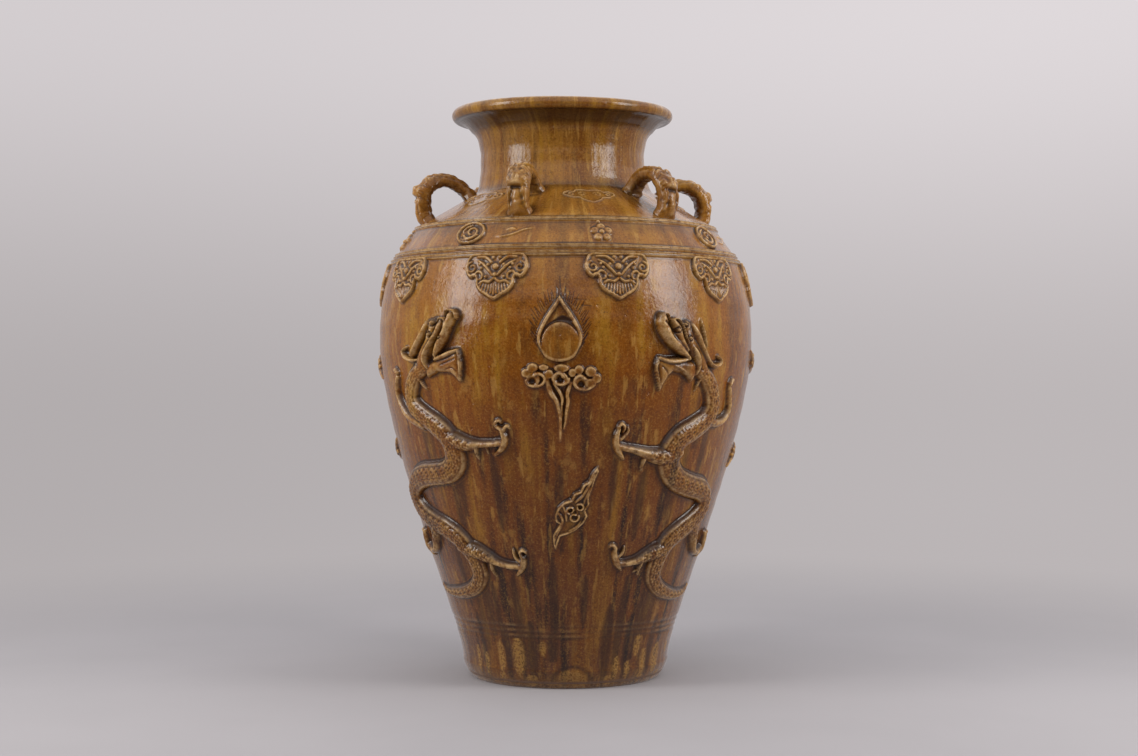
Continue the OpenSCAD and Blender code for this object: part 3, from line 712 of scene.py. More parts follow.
# The front dragons: [angle, height, half width, thickness] along trunks, limbs and spurs, and the feet's
# lines of [angle, height]
TRUNK = {
    "right": [(41, 353, 8, 6.5), (44.5, 345, 9.5, 7.5), (47.3, 335, 10.5, 8), (49.2, 323, 11.5, 8.5),
              (49.8, 309, 12.5, 9), (47.8, 297, 13, 9), (43, 287, 13.5, 9.3), (37.8, 277, 14, 9.3),
              (35, 262, 14.5, 9.3), (35.8, 247, 14, 9.3), (39.8, 233, 13.5, 9.3), (47, 225, 13.5, 9),
              (54, 220, 13.5, 9), (58.5, 210, 12.8, 8.6), (58.5, 197, 12.8, 8.6), (54.5, 186, 13, 8.6),
              (48, 175.5, 13, 8.6), (42.5, 164, 12.5, 8.4), (39.8, 150, 12, 8), (38.6, 136, 11, 7.6),
              (39.7, 123, 10, 7), (44, 111.5, 9, 6.4), (51, 104, 7.5, 5.6), (59, 100.5, 6, 4.8),
              (67, 102, 4, 3.6), (73, 108, 1.6, 2)],
    "left": [(-44.5, 353, 8, 6.5), (-48.5, 346, 9.5, 7.5), (-51.2, 335, 11, 8), (-52.6, 322, 11, 8.5),
             (-51.5, 310, 12, 9), (-47.7, 300.5, 12.3, 9), (-42.9, 291, 13, 9.3), (-39, 279, 13.5, 9.3),
             (-37.2, 264, 14, 9.3), (-38, 250, 14, 9.3), (-42, 241, 13.5, 9.3), (-48, 238, 13.5, 9.3),
             (-55, 235.5, 14, 9), (-62, 229, 13.5, 9), (-67, 218, 13, 8.6), (-67.5, 204, 12.5, 8.6),
             (-63, 191, 12.5, 8.6), (-56, 183, 12.5, 8.6), (-50, 177, 12.5, 8.6), (-44.5, 168, 12.5, 8.4),
             (-40.5, 156, 12, 8), (-38, 143, 11.5, 7.6), (-37.5, 130, 10.5, 7.2), (-39.5, 119, 9.5, 6.8),
             (-44, 110.5, 8.5, 6.2), (-51, 105, 7.5, 5.6), (-60, 103, 6, 4.8), (-68, 104, 4, 3.6),
             (-74, 109, 1.6, 2)],
}

LIMBS = {
    "right": [
        [(38, 262, 8, 8), (33.8, 258.5, 9.5, 10), (30.3, 258.8, 9, 10), (26.5, 261.6, 6.5, 8.5),
         (21.9, 266.1, 4.6, 7), (18.5, 268.3, 4.2, 6.5), (16.8, 270, 4.2, 6)],
        [(49.5, 296, 7, 7.5), (54.5, 293, 5.5, 7), (58.5, 298, 4.2, 6.2), (60.2, 309, 3.6, 5.8),
         (59.6, 320, 3.2, 5.4), (58.8, 330, 2.8, 5)],
        [(42, 158, 9, 8), (37, 154.5, 9.5, 9.5), (32.5, 149, 7.5, 8.5), (28, 144.5, 4.8, 7),
         (23.5, 142.5, 4.2, 6.5), (20.6, 143.5, 4, 6)],
        [(55.5, 180, 9, 7.5), (59, 165, 7, 7.2), (62, 152, 5, 6.6), (67, 147, 4.2, 6), (71, 153, 3.6, 5.4)]],
    "left": [
        [(-40, 281, 9, 8), (-36.8, 277.5, 9.5, 9.5), (-33.1, 272.8, 9, 10), (-30, 271.3, 7, 9),
         (-27.2, 271.9, 4.6, 7), (-23, 272.3, 4.2, 6.8), (-20.3, 273.5, 4.2, 6.2)],
        [(-49.5, 292, 7, 7.5), (-55.7, 299, 5.5, 7), (-59.5, 312, 4.2, 6.2), (-61, 323.5, 3.4, 5.8),
         (-60.8, 333.2, 3, 5.4), (-59.6, 342, 2.6, 5)],
        [(-43, 158, 9, 8), (-37, 155, 9.5, 9.5), (-31.5, 148.5, 7.5, 8.5), (-27, 143, 4.8, 7),
         (-22.5, 140, 4.2, 6.5), (-18.6, 139.5, 4, 6)],
        [(-56.5, 184, 9, 7.5), (-60, 168, 7, 7.2), (-63, 154, 5, 6.6), (-68, 149, 4.2, 6),
         (-72, 155, 3.6, 5.4)]],
}

FEET = {
    "right": [
        [(18.6, 256.2), (17.3, 262.3), (16.3, 268.3), (15.7, 275.8), (15.8, 282.4), (16.2, 286.9)],
        [(16.2, 286.9), (16.3, 291.3), (17.1, 293.5), (17.9, 291.3), (18, 287.6), (17.6, 284.3)],
        [(17, 277.5), (18.5, 282.4), (19.2, 286), (19.1, 290.5)],
        [(22.8, 134.9), (21.3, 140.5), (20.1, 146.9), (19.1, 154), (19.3, 159.4)],
        [(19.3, 159), (18.5, 162.5), (17.3, 162.6), (16.8, 160.4)],
        [(20.3, 149), (22.3, 154.4), (22.9, 160.6)], [(59.8, 322), (58.6, 329), (58.6, 337)],
        [(58.6, 335), (59.6, 340), (61.2, 338)], [(68.6, 142), (71, 150), (71.6, 160), (71, 168)],
        [(71.2, 166), (72.6, 170), (74, 167)]],
    "left": [
        [(-22.3, 260.5), (-20.4, 265.9), (-19.2, 271.9), (-18.7, 278.6), (-19.2, 284.6), (-19.7, 288.3)],
        [(-19.7, 288), (-20.9, 290.5), (-21.3, 293.6), (-20.8, 296.3), (-19.9, 296.8), (-19.5, 294.2)],
        [(-19, 284.5), (-18.3, 289.8), (-17.5, 291.3), (-17, 288.6)],
        [(-19.8, 129.7), (-18, 135.4), (-16.7, 141.7), (-16.4, 148), (-17.1, 151.8)],
        [(-17.1, 151.5), (-17.4, 155.3), (-16.5, 157.3), (-15.4, 155.8), (-15.1, 153)],
        [(-17.3, 144), (-19.3, 148.5), (-20, 154.6), (-20.2, 158)],
        [(-60.8, 334), (-59.8, 341), (-59.6, 349)], [(-59.6, 347), (-60.8, 351), (-62.2, 349)],
        [(-69.6, 144), (-72, 152), (-72.6, 162), (-72, 170)], [(-72.2, 168), (-73.6, 172), (-75, 169)]],
}

SPURS = {
    "right": [
        [(25.4, 256, 2.6, 7), (25.2, 249, 2, 5.5), (25.4, 243, 1.1, 3.4)],
        [(31, 143, 2.6, 7), (30.6, 136, 2, 5.5), (31, 129, 1.1, 3.4)],
        [(30.6, 136, 1.2, 4), (28.8, 132, 1, 3)]],
    "left": [
        [(-28.4, 268, 2.6, 7), (-28.8, 261.7, 2, 5.5), (-28.4, 256, 1.1, 3.4)],
        [(-30.2, 142, 2.6, 7), (-30.4, 134, 2, 5.5), (-29.6, 127, 1.1, 3.4)],
        [(-25, 268, 1.8, 5), (-24.8, 262, 1, 3)]],
}


def lay_feet(clay, side):
    """Upturned feet: a heel that points down, a full pad and toes that curl in."""
    for foot in FEET[side]:
        n = len(foot) - 1
        pad = n >= 3 and foot[-1][1] - foot[0][1] > 18
        widths = (1.5, 3.3, 4.3, 4.1, 3.4, 2.7) if pad else (2.5, 2.2, 2.1, 2, 1.8, 1.2)
        highs = (4, 5.5, 6.5, 6.5, 6, 5.4) if pad else (5.4, 5.3, 5.2, 5, 4.6, 3.6)
        at = np.arange(n + 1) * 5 / n
        clay.stroke([(a, z, np.interp(t, range(6), widths), np.interp(t, range(6), highs))
                       for t, (a, z) in zip(at, foot)], combed(1, 0.35) if pad else None, over=0.4 * pad)


def bead(clay, angle, z, radius, high=4.2):
    """A round bead with a dark pressed ring, a raised ring round that and a dimple in its middle."""
    x, y = clay.at(angle, z)
    away = np.hypot(clay.x - x, clay.y - y)
    clay.h += 1.3 * bell(away, radius + 2.1, 0.7) - 2.6 * bell(away, radius + 0.4, 0.7)
    clay.ink = np.maximum(clay.ink, bell(away, radius + 0.4, 0.9))
    clay.bump(angle, z, radius, high)
    clay.bump(angle, z, radius * 0.5, -2.2)


def right_head(clay):
    """Head turned up: a blunt snout, a cheek with an eye, a hooked horn and a fan-shaped lower jaw."""
    stroke, cut, plate = clay.stroke, clay.cut, clay.plate
    scales = stipple(4.1, pitch=2.5, deep=0.6)
    stroke([(43.5, 352, 7, 7), (41.5, 362, 8.5, 8), (38.9, 372, 8.5, 8.4), (37.2, 380, 8, 8.2),
            (36.8, 389, 7, 7.6), (36.4, 397, 5.4, 6)])
    stroke([(42.6, 404, 1, 2.4), (43, 397, 1.7, 4), (43.7, 388.9, 2, 4.6), (44.8, 375, 1.5, 4)])
    plate([(36.2, 360.8), (31.5, 361.5), (27.1, 363.6), (26.2, 358.6), (26.6, 350), (26.9, 342.4),
           (28.3, 327.3), (29.2, 336), (30.9, 344.6), (32.1, 348), (34.7, 346.6), (37, 342), (38.9, 336.1),
           (40.5, 344.5), (42, 352), (40, 360)], 7, 7)
    cut([(27.8, 355, 1.1), (29.6, 349, 1.6), (30.6, 340, 0.9)], 1.4)
    stroke([(37, 362.4, 2, 9.6), (33.4, 360.3, 3.2, 10.4), (29.9, 360, 3, 10), (27, 363, 1.8, 8.4)])
    stroke([(26.7, 361, 1.1, 8.4), (26.3, 353, 1.4, 8.2), (26.9, 343, 1.4, 7.8), (28.2, 329, 1, 5.4)])
    stroke([(32.2, 355, 1.1, 8.4), (34.2, 352, 1.7, 9.2), (36, 348.4, 1.3, 8)])
    stroke([(38.1, 397, 3.6, 9), (38.8, 391.8, 4.9, 11), (39.8, 386.3, 4.9, 11.2), (41.2, 377, 4.3, 10.8),
            (42.9, 368.1, 3.7, 10.2), (44.8, 361.2, 3, 9.2), (46.7, 356.6, 2.5, 8.4), (48.6, 354.6, 2.4, 8),
            (50.3, 356, 2.3, 7.6), (51.1, 360.6, 2.1, 7.2), (50.2, 365, 1.5, 6)], combed(2, 0.5), over=0.8)
    stroke([(38.1, 373.6, 2.8, 9.6), (39.2, 368.2, 4.1, 11), (40.1, 361, 4.3, 11), (40.4, 353, 3.6, 10),
            (40, 346, 2, 8)], combed(1, 0.4), over=0.6)
    stroke([(42.8, 341, 1, 5), (41.9, 334, 1.3, 5), (41.4, 327.9, 0.8, 3.4)])
    stroke([(36.6, 364, 3.2, 9.8), (34.6, 369.4, 4.6, 11), (32.4, 376, 6, 12), (30.2, 383.4, 6.9, 12.4),
            (28.6, 391.4, 7.2, 12.8), (27.8, 399.4, 6.8, 12.8), (27.7, 405.4, 5, 11.4)], scales, over=0.6)
    stroke([(31, 400.8, 3.2, 10.5), (32, 395.6, 5.3, 12), (32.7, 388.8, 5.8, 12.2), (33.5, 382, 5, 11.8),
            (34.8, 376, 3.6, 11), (36, 371, 2.2, 10)], over=0.5)
    cut([(29.7, 402, 0.9), (29.8, 396, 1.3), (30.4, 388, 1.4), (31.8, 381, 1.1)], 2.6)
    stroke([(30.5, 402.2, 0.9, 11), (31.9, 403.4, 1.3, 12.8), (33.3, 399.4, 1.5, 13.6),
            (34.3, 392.2, 1.6, 13.8), (34.9, 385, 1.6, 13.4), (35.9, 378, 1.4, 12)])
    stroke([(31.4, 375.8, 0.9, 11.2), (33.3, 371, 1.5, 11.9), (35.6, 366.6, 1.7, 11.2), (37, 362, 1.5, 10)])
    stroke([(27.9, 409.2, 1.1, 10.6), (29.2, 407.6, 1.4, 12.6), (29.8, 402.6, 1.2, 12.6)])
    cut([(28, 400.4, 1.4), (28.8, 398.4, 2), (29.4, 396, 1.4)], 4)
    clay.scratch([(28.2, 400, 1.2, 1), (29.2, 396.8, 1.2, 1)])


def left_head(clay):
    """Head turned up: horn, brow and tall snout side by side over a fan-shaped lower jaw."""
    stroke, cut, plate = clay.stroke, clay.cut, clay.plate
    scales = stipple(2.6, pitch=2.5, deep=0.6)
    stroke([(-46, 350, 6.5, 6.5), (-45.2, 360, 8, 7.5), (-43.2, 370, 8.5, 8), (-41.4, 379, 7.6, 9),
            (-40.4, 388, 6.4, 9.4), (-39.8, 399, 5.6, 8.4)])
    plate([(-38.6, 362.4), (-35, 366.5), (-31.5, 371.5), (-30.8, 366), (-30.6, 359.9), (-30.6, 350),
           (-30.8, 341.3), (-31.7, 336.9), (-32.4, 340.5), (-33.2, 343.6), (-34.4, 346.5), (-35.7, 347.5),
           (-39.1, 347.5), (-41.5, 344), (-43.6, 341.3), (-43.8, 350.7), (-42, 358)], 7, 7)
    cut([(-37.4, 356, 1), (-34.6, 359.4, 1.5), (-32.2, 362.6, 1)], 1.3)
    cut([(-35.6, 351.4, 1), (-33.4, 353, 1.4), (-31.8, 349, 0.9)], 1.2)
    stroke([(-39.2, 362, 2, 9.6), (-36.4, 365, 3.1, 10.4), (-33.8, 368.3, 3, 10.2), (-31.5, 371, 1.9, 8.6)])
    stroke([(-31.1, 369.6, 1.1, 8.5), (-30.8, 360, 1.4, 8.3), (-30.8, 350, 1.4, 7.8), (-31.2, 339, 1, 5.4)])
    stroke([(-42, 400, 3.6, 9), (-42.5, 395, 4.8, 11), (-43.9, 387.4, 4.9, 11.2), (-45.7, 379.6, 4.6, 10.8),
            (-47.5, 372.6, 4, 10.2), (-49.2, 366.8, 2.9, 9)], combed(2, 0.5), over=0.8)
    stroke([(-46.8, 361.6, 1.4, 7), (-49, 360.8, 2.1, 8), (-51.4, 362.2, 2.4, 8), (-53.3, 366, 2.4, 7.8),
            (-53.9, 371, 2, 7), (-52.6, 374.6, 1.4, 6)])
    stroke([(-47.4, 358, 1.1, 8), (-47.5, 349, 1.3, 7.6), (-47.1, 341, 1.3, 6.6), (-46.3, 334.6, 1.2, 5.4),
            (-45.1, 329, 0.8, 3.6)])
    stroke([(-36.6, 401, 3.2, 9.4), (-36.8, 396.6, 4.4, 11.8), (-37.8, 389.6, 3.8, 11.8),
            (-39.4, 382.4, 2.9, 11.2), (-41.1, 375.4, 3, 11), (-42.6, 368, 3.6, 11), (-43.2, 361, 3.8, 10.4),
            (-42.5, 353, 2.2, 8.4)], over=0.6)
    stroke([(-38.2, 401.4, 0.9, 9.4), (-36.8, 404.6, 1.3, 11), (-35.2, 402.2, 1.4, 12),
            (-34.8, 397, 1.2, 12)])
    stroke([(-38.9, 366.5, 3.2, 10), (-37.6, 375, 4.6, 11.5), (-36, 383.3, 5, 12), (-34.9, 391, 4.8, 12.4),
            (-34.1, 397, 4.8, 12.6), (-33.3, 402.6, 5.4, 12.8), (-33, 407, 5.2, 12.4),
            (-33.1, 410.4, 3.6, 10.4)], scales, over=0.6)
    stroke([(-35.2, 405.4, 0.9, 10), (-35.3, 409.4, 1.3, 11.4), (-34.2, 412.4, 1.6, 12),
            (-32.5, 412.2, 1.7, 12.6), (-31.5, 408.4, 1.5, 12.4), (-31.6, 403.4, 1, 11.4)])
    cut([(-34.6, 405.4, 1.3), (-34.2, 408, 1.9), (-33.6, 409.2, 1.4)], 4)
    clay.scratch([(-34.5, 406, 1.1, 1), (-33.8, 408.8, 1.1, 1)])
    clay.bump(-36.7, 400, 1.5, -2.4)


HEADS = {"right": right_head, "left": left_head}
BEADS = {"right": ((31.9, 391.8, 2.2), (36.7, 383.3, 2.3), (35.6, 397.6, 1.9)),
         "left": ((-39.5, 399.6, 2.6), (-40.5, 387.6, 2.4), (-36.5, 384.6, 1.5))}
DRAGON_REACH = {"right": (10, 79), "left": (-80, -11)}
SKIN_SEED = {"right": 1.5, "left": -1.5}


def dragon_relief(wall, side, grain):
    """A dragon that coils down the wall, drawn on the front pair's place."""
    clay = Relief(wall, DRAGON_REACH[side], (84, 428), grain)
    clay.stroke(TRUNK[side], stipple(SKIN_SEED[side]), k=6, full=3)
    for limb in LIMBS[side]:
        clay.stroke(limb, limb_skin, over=0.8)
    for spur in SPURS[side]:
        clay.stroke(spur)
    lay_feet(clay, side)
    HEADS[side](clay)
    for angle, z, radius in BEADS[side]:
        bead(clay, angle, z, radius)
    return clay


PAIR_TURN = -1.5
PEARL_Z = 385


def on_wall(clay, angle, z, x, y):
    """Angle and height of a place that lies x right and y up, in mm, of a middle."""
    s = clay.wall.s_at(z) + y
    r = np.interp(s, clay.wall.s, clay.wall.r)
    return angle + math.degrees(x / r), float(np.interp(s, clay.wall.s, clay.wall.z))


def local(clay, angle, z, pts):
    """Points of [x, y, ...] in mm about a middle, as [angle, height, ...]."""
    return [(*on_wall(clay, angle, z, p[0], p[1]), *p[2:]) for p in pts]


def within_halves(clay, angle, z, half, k):
    """How deep points lie inside a smooth outline about a middle, from its right half in mm."""
    ring = half + [(-x, y) for x, y in half[-2:0:-1]]
    loop = glide(np.array(ring + ring[:1], float), k)[:-1]
    return clay.inside(local(clay, angle, z, loop.tolist()))


def drawer(clay, angle, z, way=1):
    """A function that lays ridges along points of [x, y, ...] about a middle, mirrored where way is -1."""
    def draw(pts, skin=None, **how):
        clay.stroke(local(clay, angle, z, [(way * p[0], *p[1:]) for p in pts]), skin, **how)
    return draw


def curl(x, y, radius, start, turn, width, high, tail=0.3):
    """Points of a spiral ridge that winds into a middle, in mm."""
    steps = 14
    out = []
    for i in range(steps + 1):
        t = i / steps
        a = math.radians(start + turn * t)
        size = radius * (1 - (1 - tail) * t)
        out.append((x + size * math.cos(a), y + size * math.sin(a), width * (1 - 0.25 * t), high))
    return out


def cloud_lobe(clay, angle, z, radius, start, way, high=4.2):
    """A round lobe of cloud: scallops along its top and a curl round a dark hollow."""
    draw = drawer(clay, angle, z)
    draw([(0, y, radius * 0.95, high * 0.62) for y in (-0.5, 0.5)], k=1, full=4)
    for i in range(5):
        a = math.radians(start + way * (20 + 42 * i))
        x, y = radius * 0.82 * math.cos(a), radius * 0.82 * math.sin(a)
        place = on_wall(clay, angle, z, x, y)
        clay.bump(*place, radius * 0.40, high, over=False)
        clay.bump(*place, radius * 0.16, -0.6)
    low = -0.12 * radius
    draw(curl(0, low, radius * 0.66, start + way * 200, -way * 420, radius * 0.15, high * 1.18), k=3)
    clay.bump(*on_wall(clay, angle, z, 0, low), radius * 0.22, -2.2)


def pearl_relief(wall, grain):
    """A flaming pearl: a rimmed drop with a round heart, and rays scratched round it."""
    clay = Relief(wall, (-17, 14), (352, 456), grain)
    w = 23.5
    half = [(share * w, y) for share, y in ((0, 43), (0.24, 34), (0.5, 25), (0.78, 14), (0.96, 4), (1, -6),
                                            (0.86, -16), (0.52, -24), (0, -27))]
    deep = within_halves(clay, PAIR_TURN, PEARL_Z, half, 6)
    body = smoothstep(deep / 2.2)
    clay.lay(2.2 * body)
    clay.rim(deep, 4.8, 2.3, 2.5)
    x, y = clay.at(PAIR_TURN + 0.2, PEARL_Z - 6)
    away = np.hypot(clay.x - x, (clay.y - y) * 0.96)
    heart = 2.6 + 2.4 * np.sqrt(np.clip(1 - (away / 21.6) ** 2, 0, 1))
    clay.lay(heart * smoothstep((20.3 - away) / 1.4) * body)
    clay.h -= 1.1 * bell(away, 20.9, 1.0) * body
    # A dark crescent over the top of the pearl's heart is cut in and inked dark as painted shade
    shade = [(PAIR_TURN + x, z, wide, 1) for x, z, wide in ((-1.4, 400.2, 1.4), (0.9, 403.6, 2.7),
                                                            (3.2, 400.2, 1.4))]
    near = clay.trace(clay.line(shade))[0]
    clay.h -= 1.2 * smoothstep(1.3 - near) * body
    clay.ink = np.maximum(clay.ink, smoothstep(1.4 - near))
    clay.swell = 0.55 * np.exp(-(np.clip(-deep - 5, 0, None) / 9) ** 2)
    rays = 52
    for k in range(rays):
        turn = math.radians(-48 + 276 * k / (rays - 1))
        px, py = 24 * math.cos(turn), 4 + 34 * math.sin(turn)
        lean = math.pi / 2 - 0.62 * math.cos(turn) - 0.12 * math.sin(k * 2.4)
        out = 12 + 3 * math.sin(k * 1.7)
        qx, qy = px + out * math.cos(lean), py + out * math.sin(lean)
        clay.scratch(local(clay, PAIR_TURN, PEARL_Z, [(px, py, 0.55, 1), (qx, qy, 0.4, 1)]))
    clay.scratch(local(clay, PAIR_TURN, PEARL_Z, [(0.6, 47, 0.6, 1), (0, 63, 0.5, 1)]))
    clay.scratch([(2.6, 423.5, 0.6, 1), (6, 423, 0.4, 1)])
    clay.scratch([(4.6, 417.2, 0.6, 1), (9.4, 415.8, 0.4, 1)])
    return clay


def pearl_cloud_relief(wall, grain):
    """Three heads of cloud, each with round petals about a curl, on a twisted ribbon."""
    clay = Relief(wall, (-16, 13), (270, 364), grain)
    for ribbon in ([(-5.6, 346, 3.4, 3.4), (-4.8, 335, 3.6, 4.2), (-3.9, 326, 3.6, 4.2), (-2.5, 318, 3, 4.2),
                    (-1.6, 306, 2.4, 4), (-1.3, 297, 2, 3.6), (-1.4, 284, 1.4, 3), (-1.5, 275, 0.8, 1.6)],
                   [(-3.1, 336, 2, 4), (-1.7, 328.3, 2.3, 4.2), (-0.8, 320.3, 2.1, 4), (-1, 311, 1.6, 3.6),
                    (-0.7, 302, 1, 2.4)],
                   [(1.6, 336, 2.6, 4), (1, 330, 2.8, 4.4), (0.6, 324, 2.3, 4.2), (0.8, 317, 2.3, 4.2),
                    (0.3, 306, 2, 4), (0.1, 297, 1.6, 3.4), (-0.5, 288, 1, 2.4)]):
        clay.stroke(ribbon, combed(1, 0.35), over=0.4)
    petals = ((-11, 346.5, 5, 4.8), (-9.1, 352, 6, 5), (-6, 352.4, 5.4, 3.4), (-9, 340, 7.5, 8),
              (-4.4, 345.6, 4.6, 5), (-1, 351.6, 8, 4.6), (2, 346.9, 4.2, 4.6), (-1.1, 341, 7.5, 7),
              (3.9, 350, 5, 5), (7.1, 348, 6, 5.6), (8.9, 341, 4.8, 5), (7.2, 336, 6, 5.4),
              (4.6, 337, 7.5, 8))
    for petal in petals:
        clay.petal(*petal)
    for angle, z in ((-9.3, 338.4), (-1.3, 340.2), (4.5, 335.4)):
        clay.bump(angle, z, 5.4, -5)
    for line in ([(-8.7, 344.1), (-7.7, 346.1), (-6.3, 344.1), (-5.7, 339.6), (-6.7, 334.5), (-8.5, 332.9),
                  (-10.4, 334.6), (-11, 339)],
                 [(-0.5, 343), (-1.2, 346), (-2.4, 346), (-3.4, 341), (-2.5, 336.2), (-0.8, 334.6),
                  (0.8, 337.4), (1.1, 341)],
                 [(5.4, 341.2), (4.3, 344), (3, 341.6), (2.6, 335.6), (3.7, 330.8), (5.7, 329.4),
                  (7.2, 331.6)]):
        clay.stroke([(a, z, 2.1 - 0.06 * i, 5.6 - 0.1 * i) for i, (a, z) in enumerate(line)])
        clay.bump(*line[0], 2.4, 5.4, over=False)
    return clay


def leaf_cloud_relief(wall, grain):
    """A ruffled cloud drawn out to a point above and below, with a knot of three curls."""
    clay = Relief(wall, (-9, 15), (152, 256), grain)
    outline = [(10.5, 249), (8.7, 241.6), (7.5, 232.6), (5.9, 229.5), (5, 222.1), (2.9, 219.6), (2, 213.1),
               (-0.4, 210.5), (-2.5, 204.7), (-3.6, 196.3), (-3.4, 189.4), (-2, 187), (-3.2, 181),
               (-4.4, 174.9), (-4.5, 165.6), (-3.6, 158), (-2.5, 167.2), (-1.7, 173.4), (0.6, 175.2),
               (3.7, 179.6), (6.6, 188), (7.8, 195.4), (7, 201.6), (8.3, 207.8), (7.9, 215.4), (9, 225),
               (9.8, 235.5), (10.8, 243)]
    deep = clay.inside(outline)
    clay.lay(2.8 * smoothstep(deep / 1.4))
    clay.rim(deep, 4.8, 1.2, 1.5)
    for fold in ([(9.4, 240, 1.2, 4.4), (7.6, 228, 1.8, 4.8), (5.6, 217, 2, 4.8), (3.4, 211, 1.6, 4.4)],
                 [(8.2, 226, 1.2, 4.2), (6.8, 216, 1.6, 4.6), (6.2, 209, 1.2, 4)],
                 [(-2.4, 199, 1.4, 4.4), (-1, 193, 1.8, 4.8), (-1.2, 186, 1.5, 4.4), (-2.6, 178, 1.4, 4.2),
                  (-3.8, 168, 1, 3.4)],
                 [(-0.6, 206, 1.3, 4.4), (0.2, 199, 1.6, 4.6), (0.4, 191, 1.4, 4.2)],
                 [(1.4, 180, 1.2, 4), (3.8, 184, 1.4, 4.4), (5.4, 190, 1.2, 4)]):
        clay.stroke(fold, over=0.3)
    for angle, z, radius, start in ((1.9, 202, 4.2, 250), (5, 205.2, 4.2, 130), (3.1, 194.4, 5, 20)):
        clay.bump(angle, z, radius, -1.6)
        drawer(clay, angle, z)(curl(0, 0, radius, start, -330, 1.35, 5.8, tail=0.6), k=3)
    clay.bump(3.2, 199.6, 3, -2.4)
    return clay


def side_cloud_relief(wall, angle, low, grain):
    """A cloud for the bare sides, slanting up to one side and down to the other."""
    z, way = (256, -1) if low else (357, 1)
    clay = Relief(wall, (angle - 15, angle + 15), (z - 30, z + 30), grain)
    run = [(-9, -15, 1.2, 2), (-5.5, -8, 3.4, 3.8), (-1.5, -2, 8, 4.4), (2, 3, 8, 4.4), (5.5, 9, 3.6, 3.8),
           (9, 16, 1.2, 2)]
    clay.stroke([(angle + x, z - way * y, w, h) for x, y, w, h in run], combed(3, 0.3), k=6)
    cloud_lobe(clay, angle - 2.4, z + 2 * way, 10, 200, -1)
    cloud_lobe(clay, angle + 3, z - 2 * way, 9, -20, 1)
    return clay


LAPPET_OUT = [(0, 25.5), (17, 25.5), (28, 25.2), (32.5, 21), (35, 14), (35, 7), (31.5, 0.5), (27, -1.5),
              (23.6, 0.6), (21.6, -3.4), (21.2, -9), (16.6, -15.8), (8.4, -20.8), (0, -25)]


def lappet_relief(wall, grain):
    """A lappet with ruyi lobes, a raised rim, curls, beads and a combed lower lobe."""
    z = COLLAR_Z - 26.5
    clay = Relief(wall, (-13, 13), (COLLAR_Z - 64, COLLAR_Z), grain)
    deep = within_halves(clay, 0, z, LAPPET_OUT, 5)
    clay.lay(2.5 * smoothstep(deep / 1.8))
    clay.rim(deep, 4.6, 1.7, 1.8, 0.5)
    for way in (-1, 1):
        draw = drawer(clay, 0, z, way)
        draw(curl(27, 9.5, 6.4, 75, -400, 1.7, 4.6), k=3)
        draw([(24, 0.5, 1.5, 4.4), (19.5, 5, 1.7, 4.8), (14.8, 3, 1.7, 4.8), (14.4, -2, 1.5, 4.4),
              (17.6, -3.6, 1.2, 4)], k=4)
        draw([(20.5, 17, 1.4, 4), (14, 13, 2, 5), (8, 7, 2, 5), (3, 1.2, 1.6, 4.8)], combed(1, 0.3), k=4)
        draw([(22, 21, 1.5, 4.4), (12, 20.5, 1.9, 5), (5, 15, 1.8, 5.2)], k=4)
        draw([(17.5, -8, 1.4, 4), (12, -5, 1.8, 4.8), (6, -6, 1.8, 5), (1, -2.6, 1.5, 4.8)], k=4)
        for x, y, size in ((9, 12.6, 2.5), (16, 8.8, 2.1), (10.2, -0.6, 2.1), (3.6, 20.4, 2.4),
                           (18.4, 13, 1.9)):
            clay.bump(*on_wall(clay, 0, z, way * x, y), size, 4.9, over=False)
        for k in range(5):
            tip = (3.2 + 3.5 * k, -18.2 + 0.75 * k * k * 0.42, 1.3, 4.3)
            draw([(2.6 + 3 * k, -8.6 + 0.3 * k, 0.9, 3.6), tip], k=1)
    clay.bump(*on_wall(clay, 0, z, 0, 10.4), 4.2, 6.2, over=False)
    clay.bump(*on_wall(clay, 0, z, 0, 10.4), 1.8, -1.4)
    clay.bump(*on_wall(clay, 0, z, 0, 1.6), 3, 5.6, over=False)
    draw([(0, -8.4, 1, 3.8), (0, -19.6, 1.4, 4.4)], k=1)
    return clay


COLLAR_MID = (COLLAR_Z + SHOULDER_Z) / 2 + 1.8


def roundel_relief(wall, grain):
    """An oval rim round a swirl, with a tendril that trails off to its right."""
    clay = Relief(wall, (-9, 28), (COLLAR_Z + 9, SHOULDER_Z - 6), grain)
    draw = drawer(clay, 0, COLLAR_MID)
    oval = [(16.4 * math.cos(t), 13.6 * math.sin(t), 1.6, 4) for t in np.linspace(0, 2 * math.pi, 25)]
    draw([(0, -1, 15, 1.2), (0, 1, 15, 1.2)], k=1, full=6)
    draw(oval, k=3)
    draw(curl(1.5, 0.5, 9.4, -150, 400, 1.8, 4), k=3)
    draw([(-10, -7.5, 1.2, 3), (-4, -9.5, 1.7, 3.8), (4, -8.4, 1.8, 4), (10.5, -3, 1.4, 3.4)])
    draw([(-11, 3, 1.1, 2.8), (-6.5, 7.5, 1.6, 3.6), (-1, 10, 1.4, 3.4)])
    draw([(33, -4.5, 0.9, 1.2), (43, -4.8, 1.3, 1.7), (53, -1.4, 1.3, 1.7), (63, 4, 1.4, 1.8),
          (72, 5.5, 0.8, 1.1)])
    draw([(42, 4.2, 1.2, 1.2), (47.5, 5.2, 2.4, 1.6), (53, 3.6, 1.1, 1.1)])
    return clay


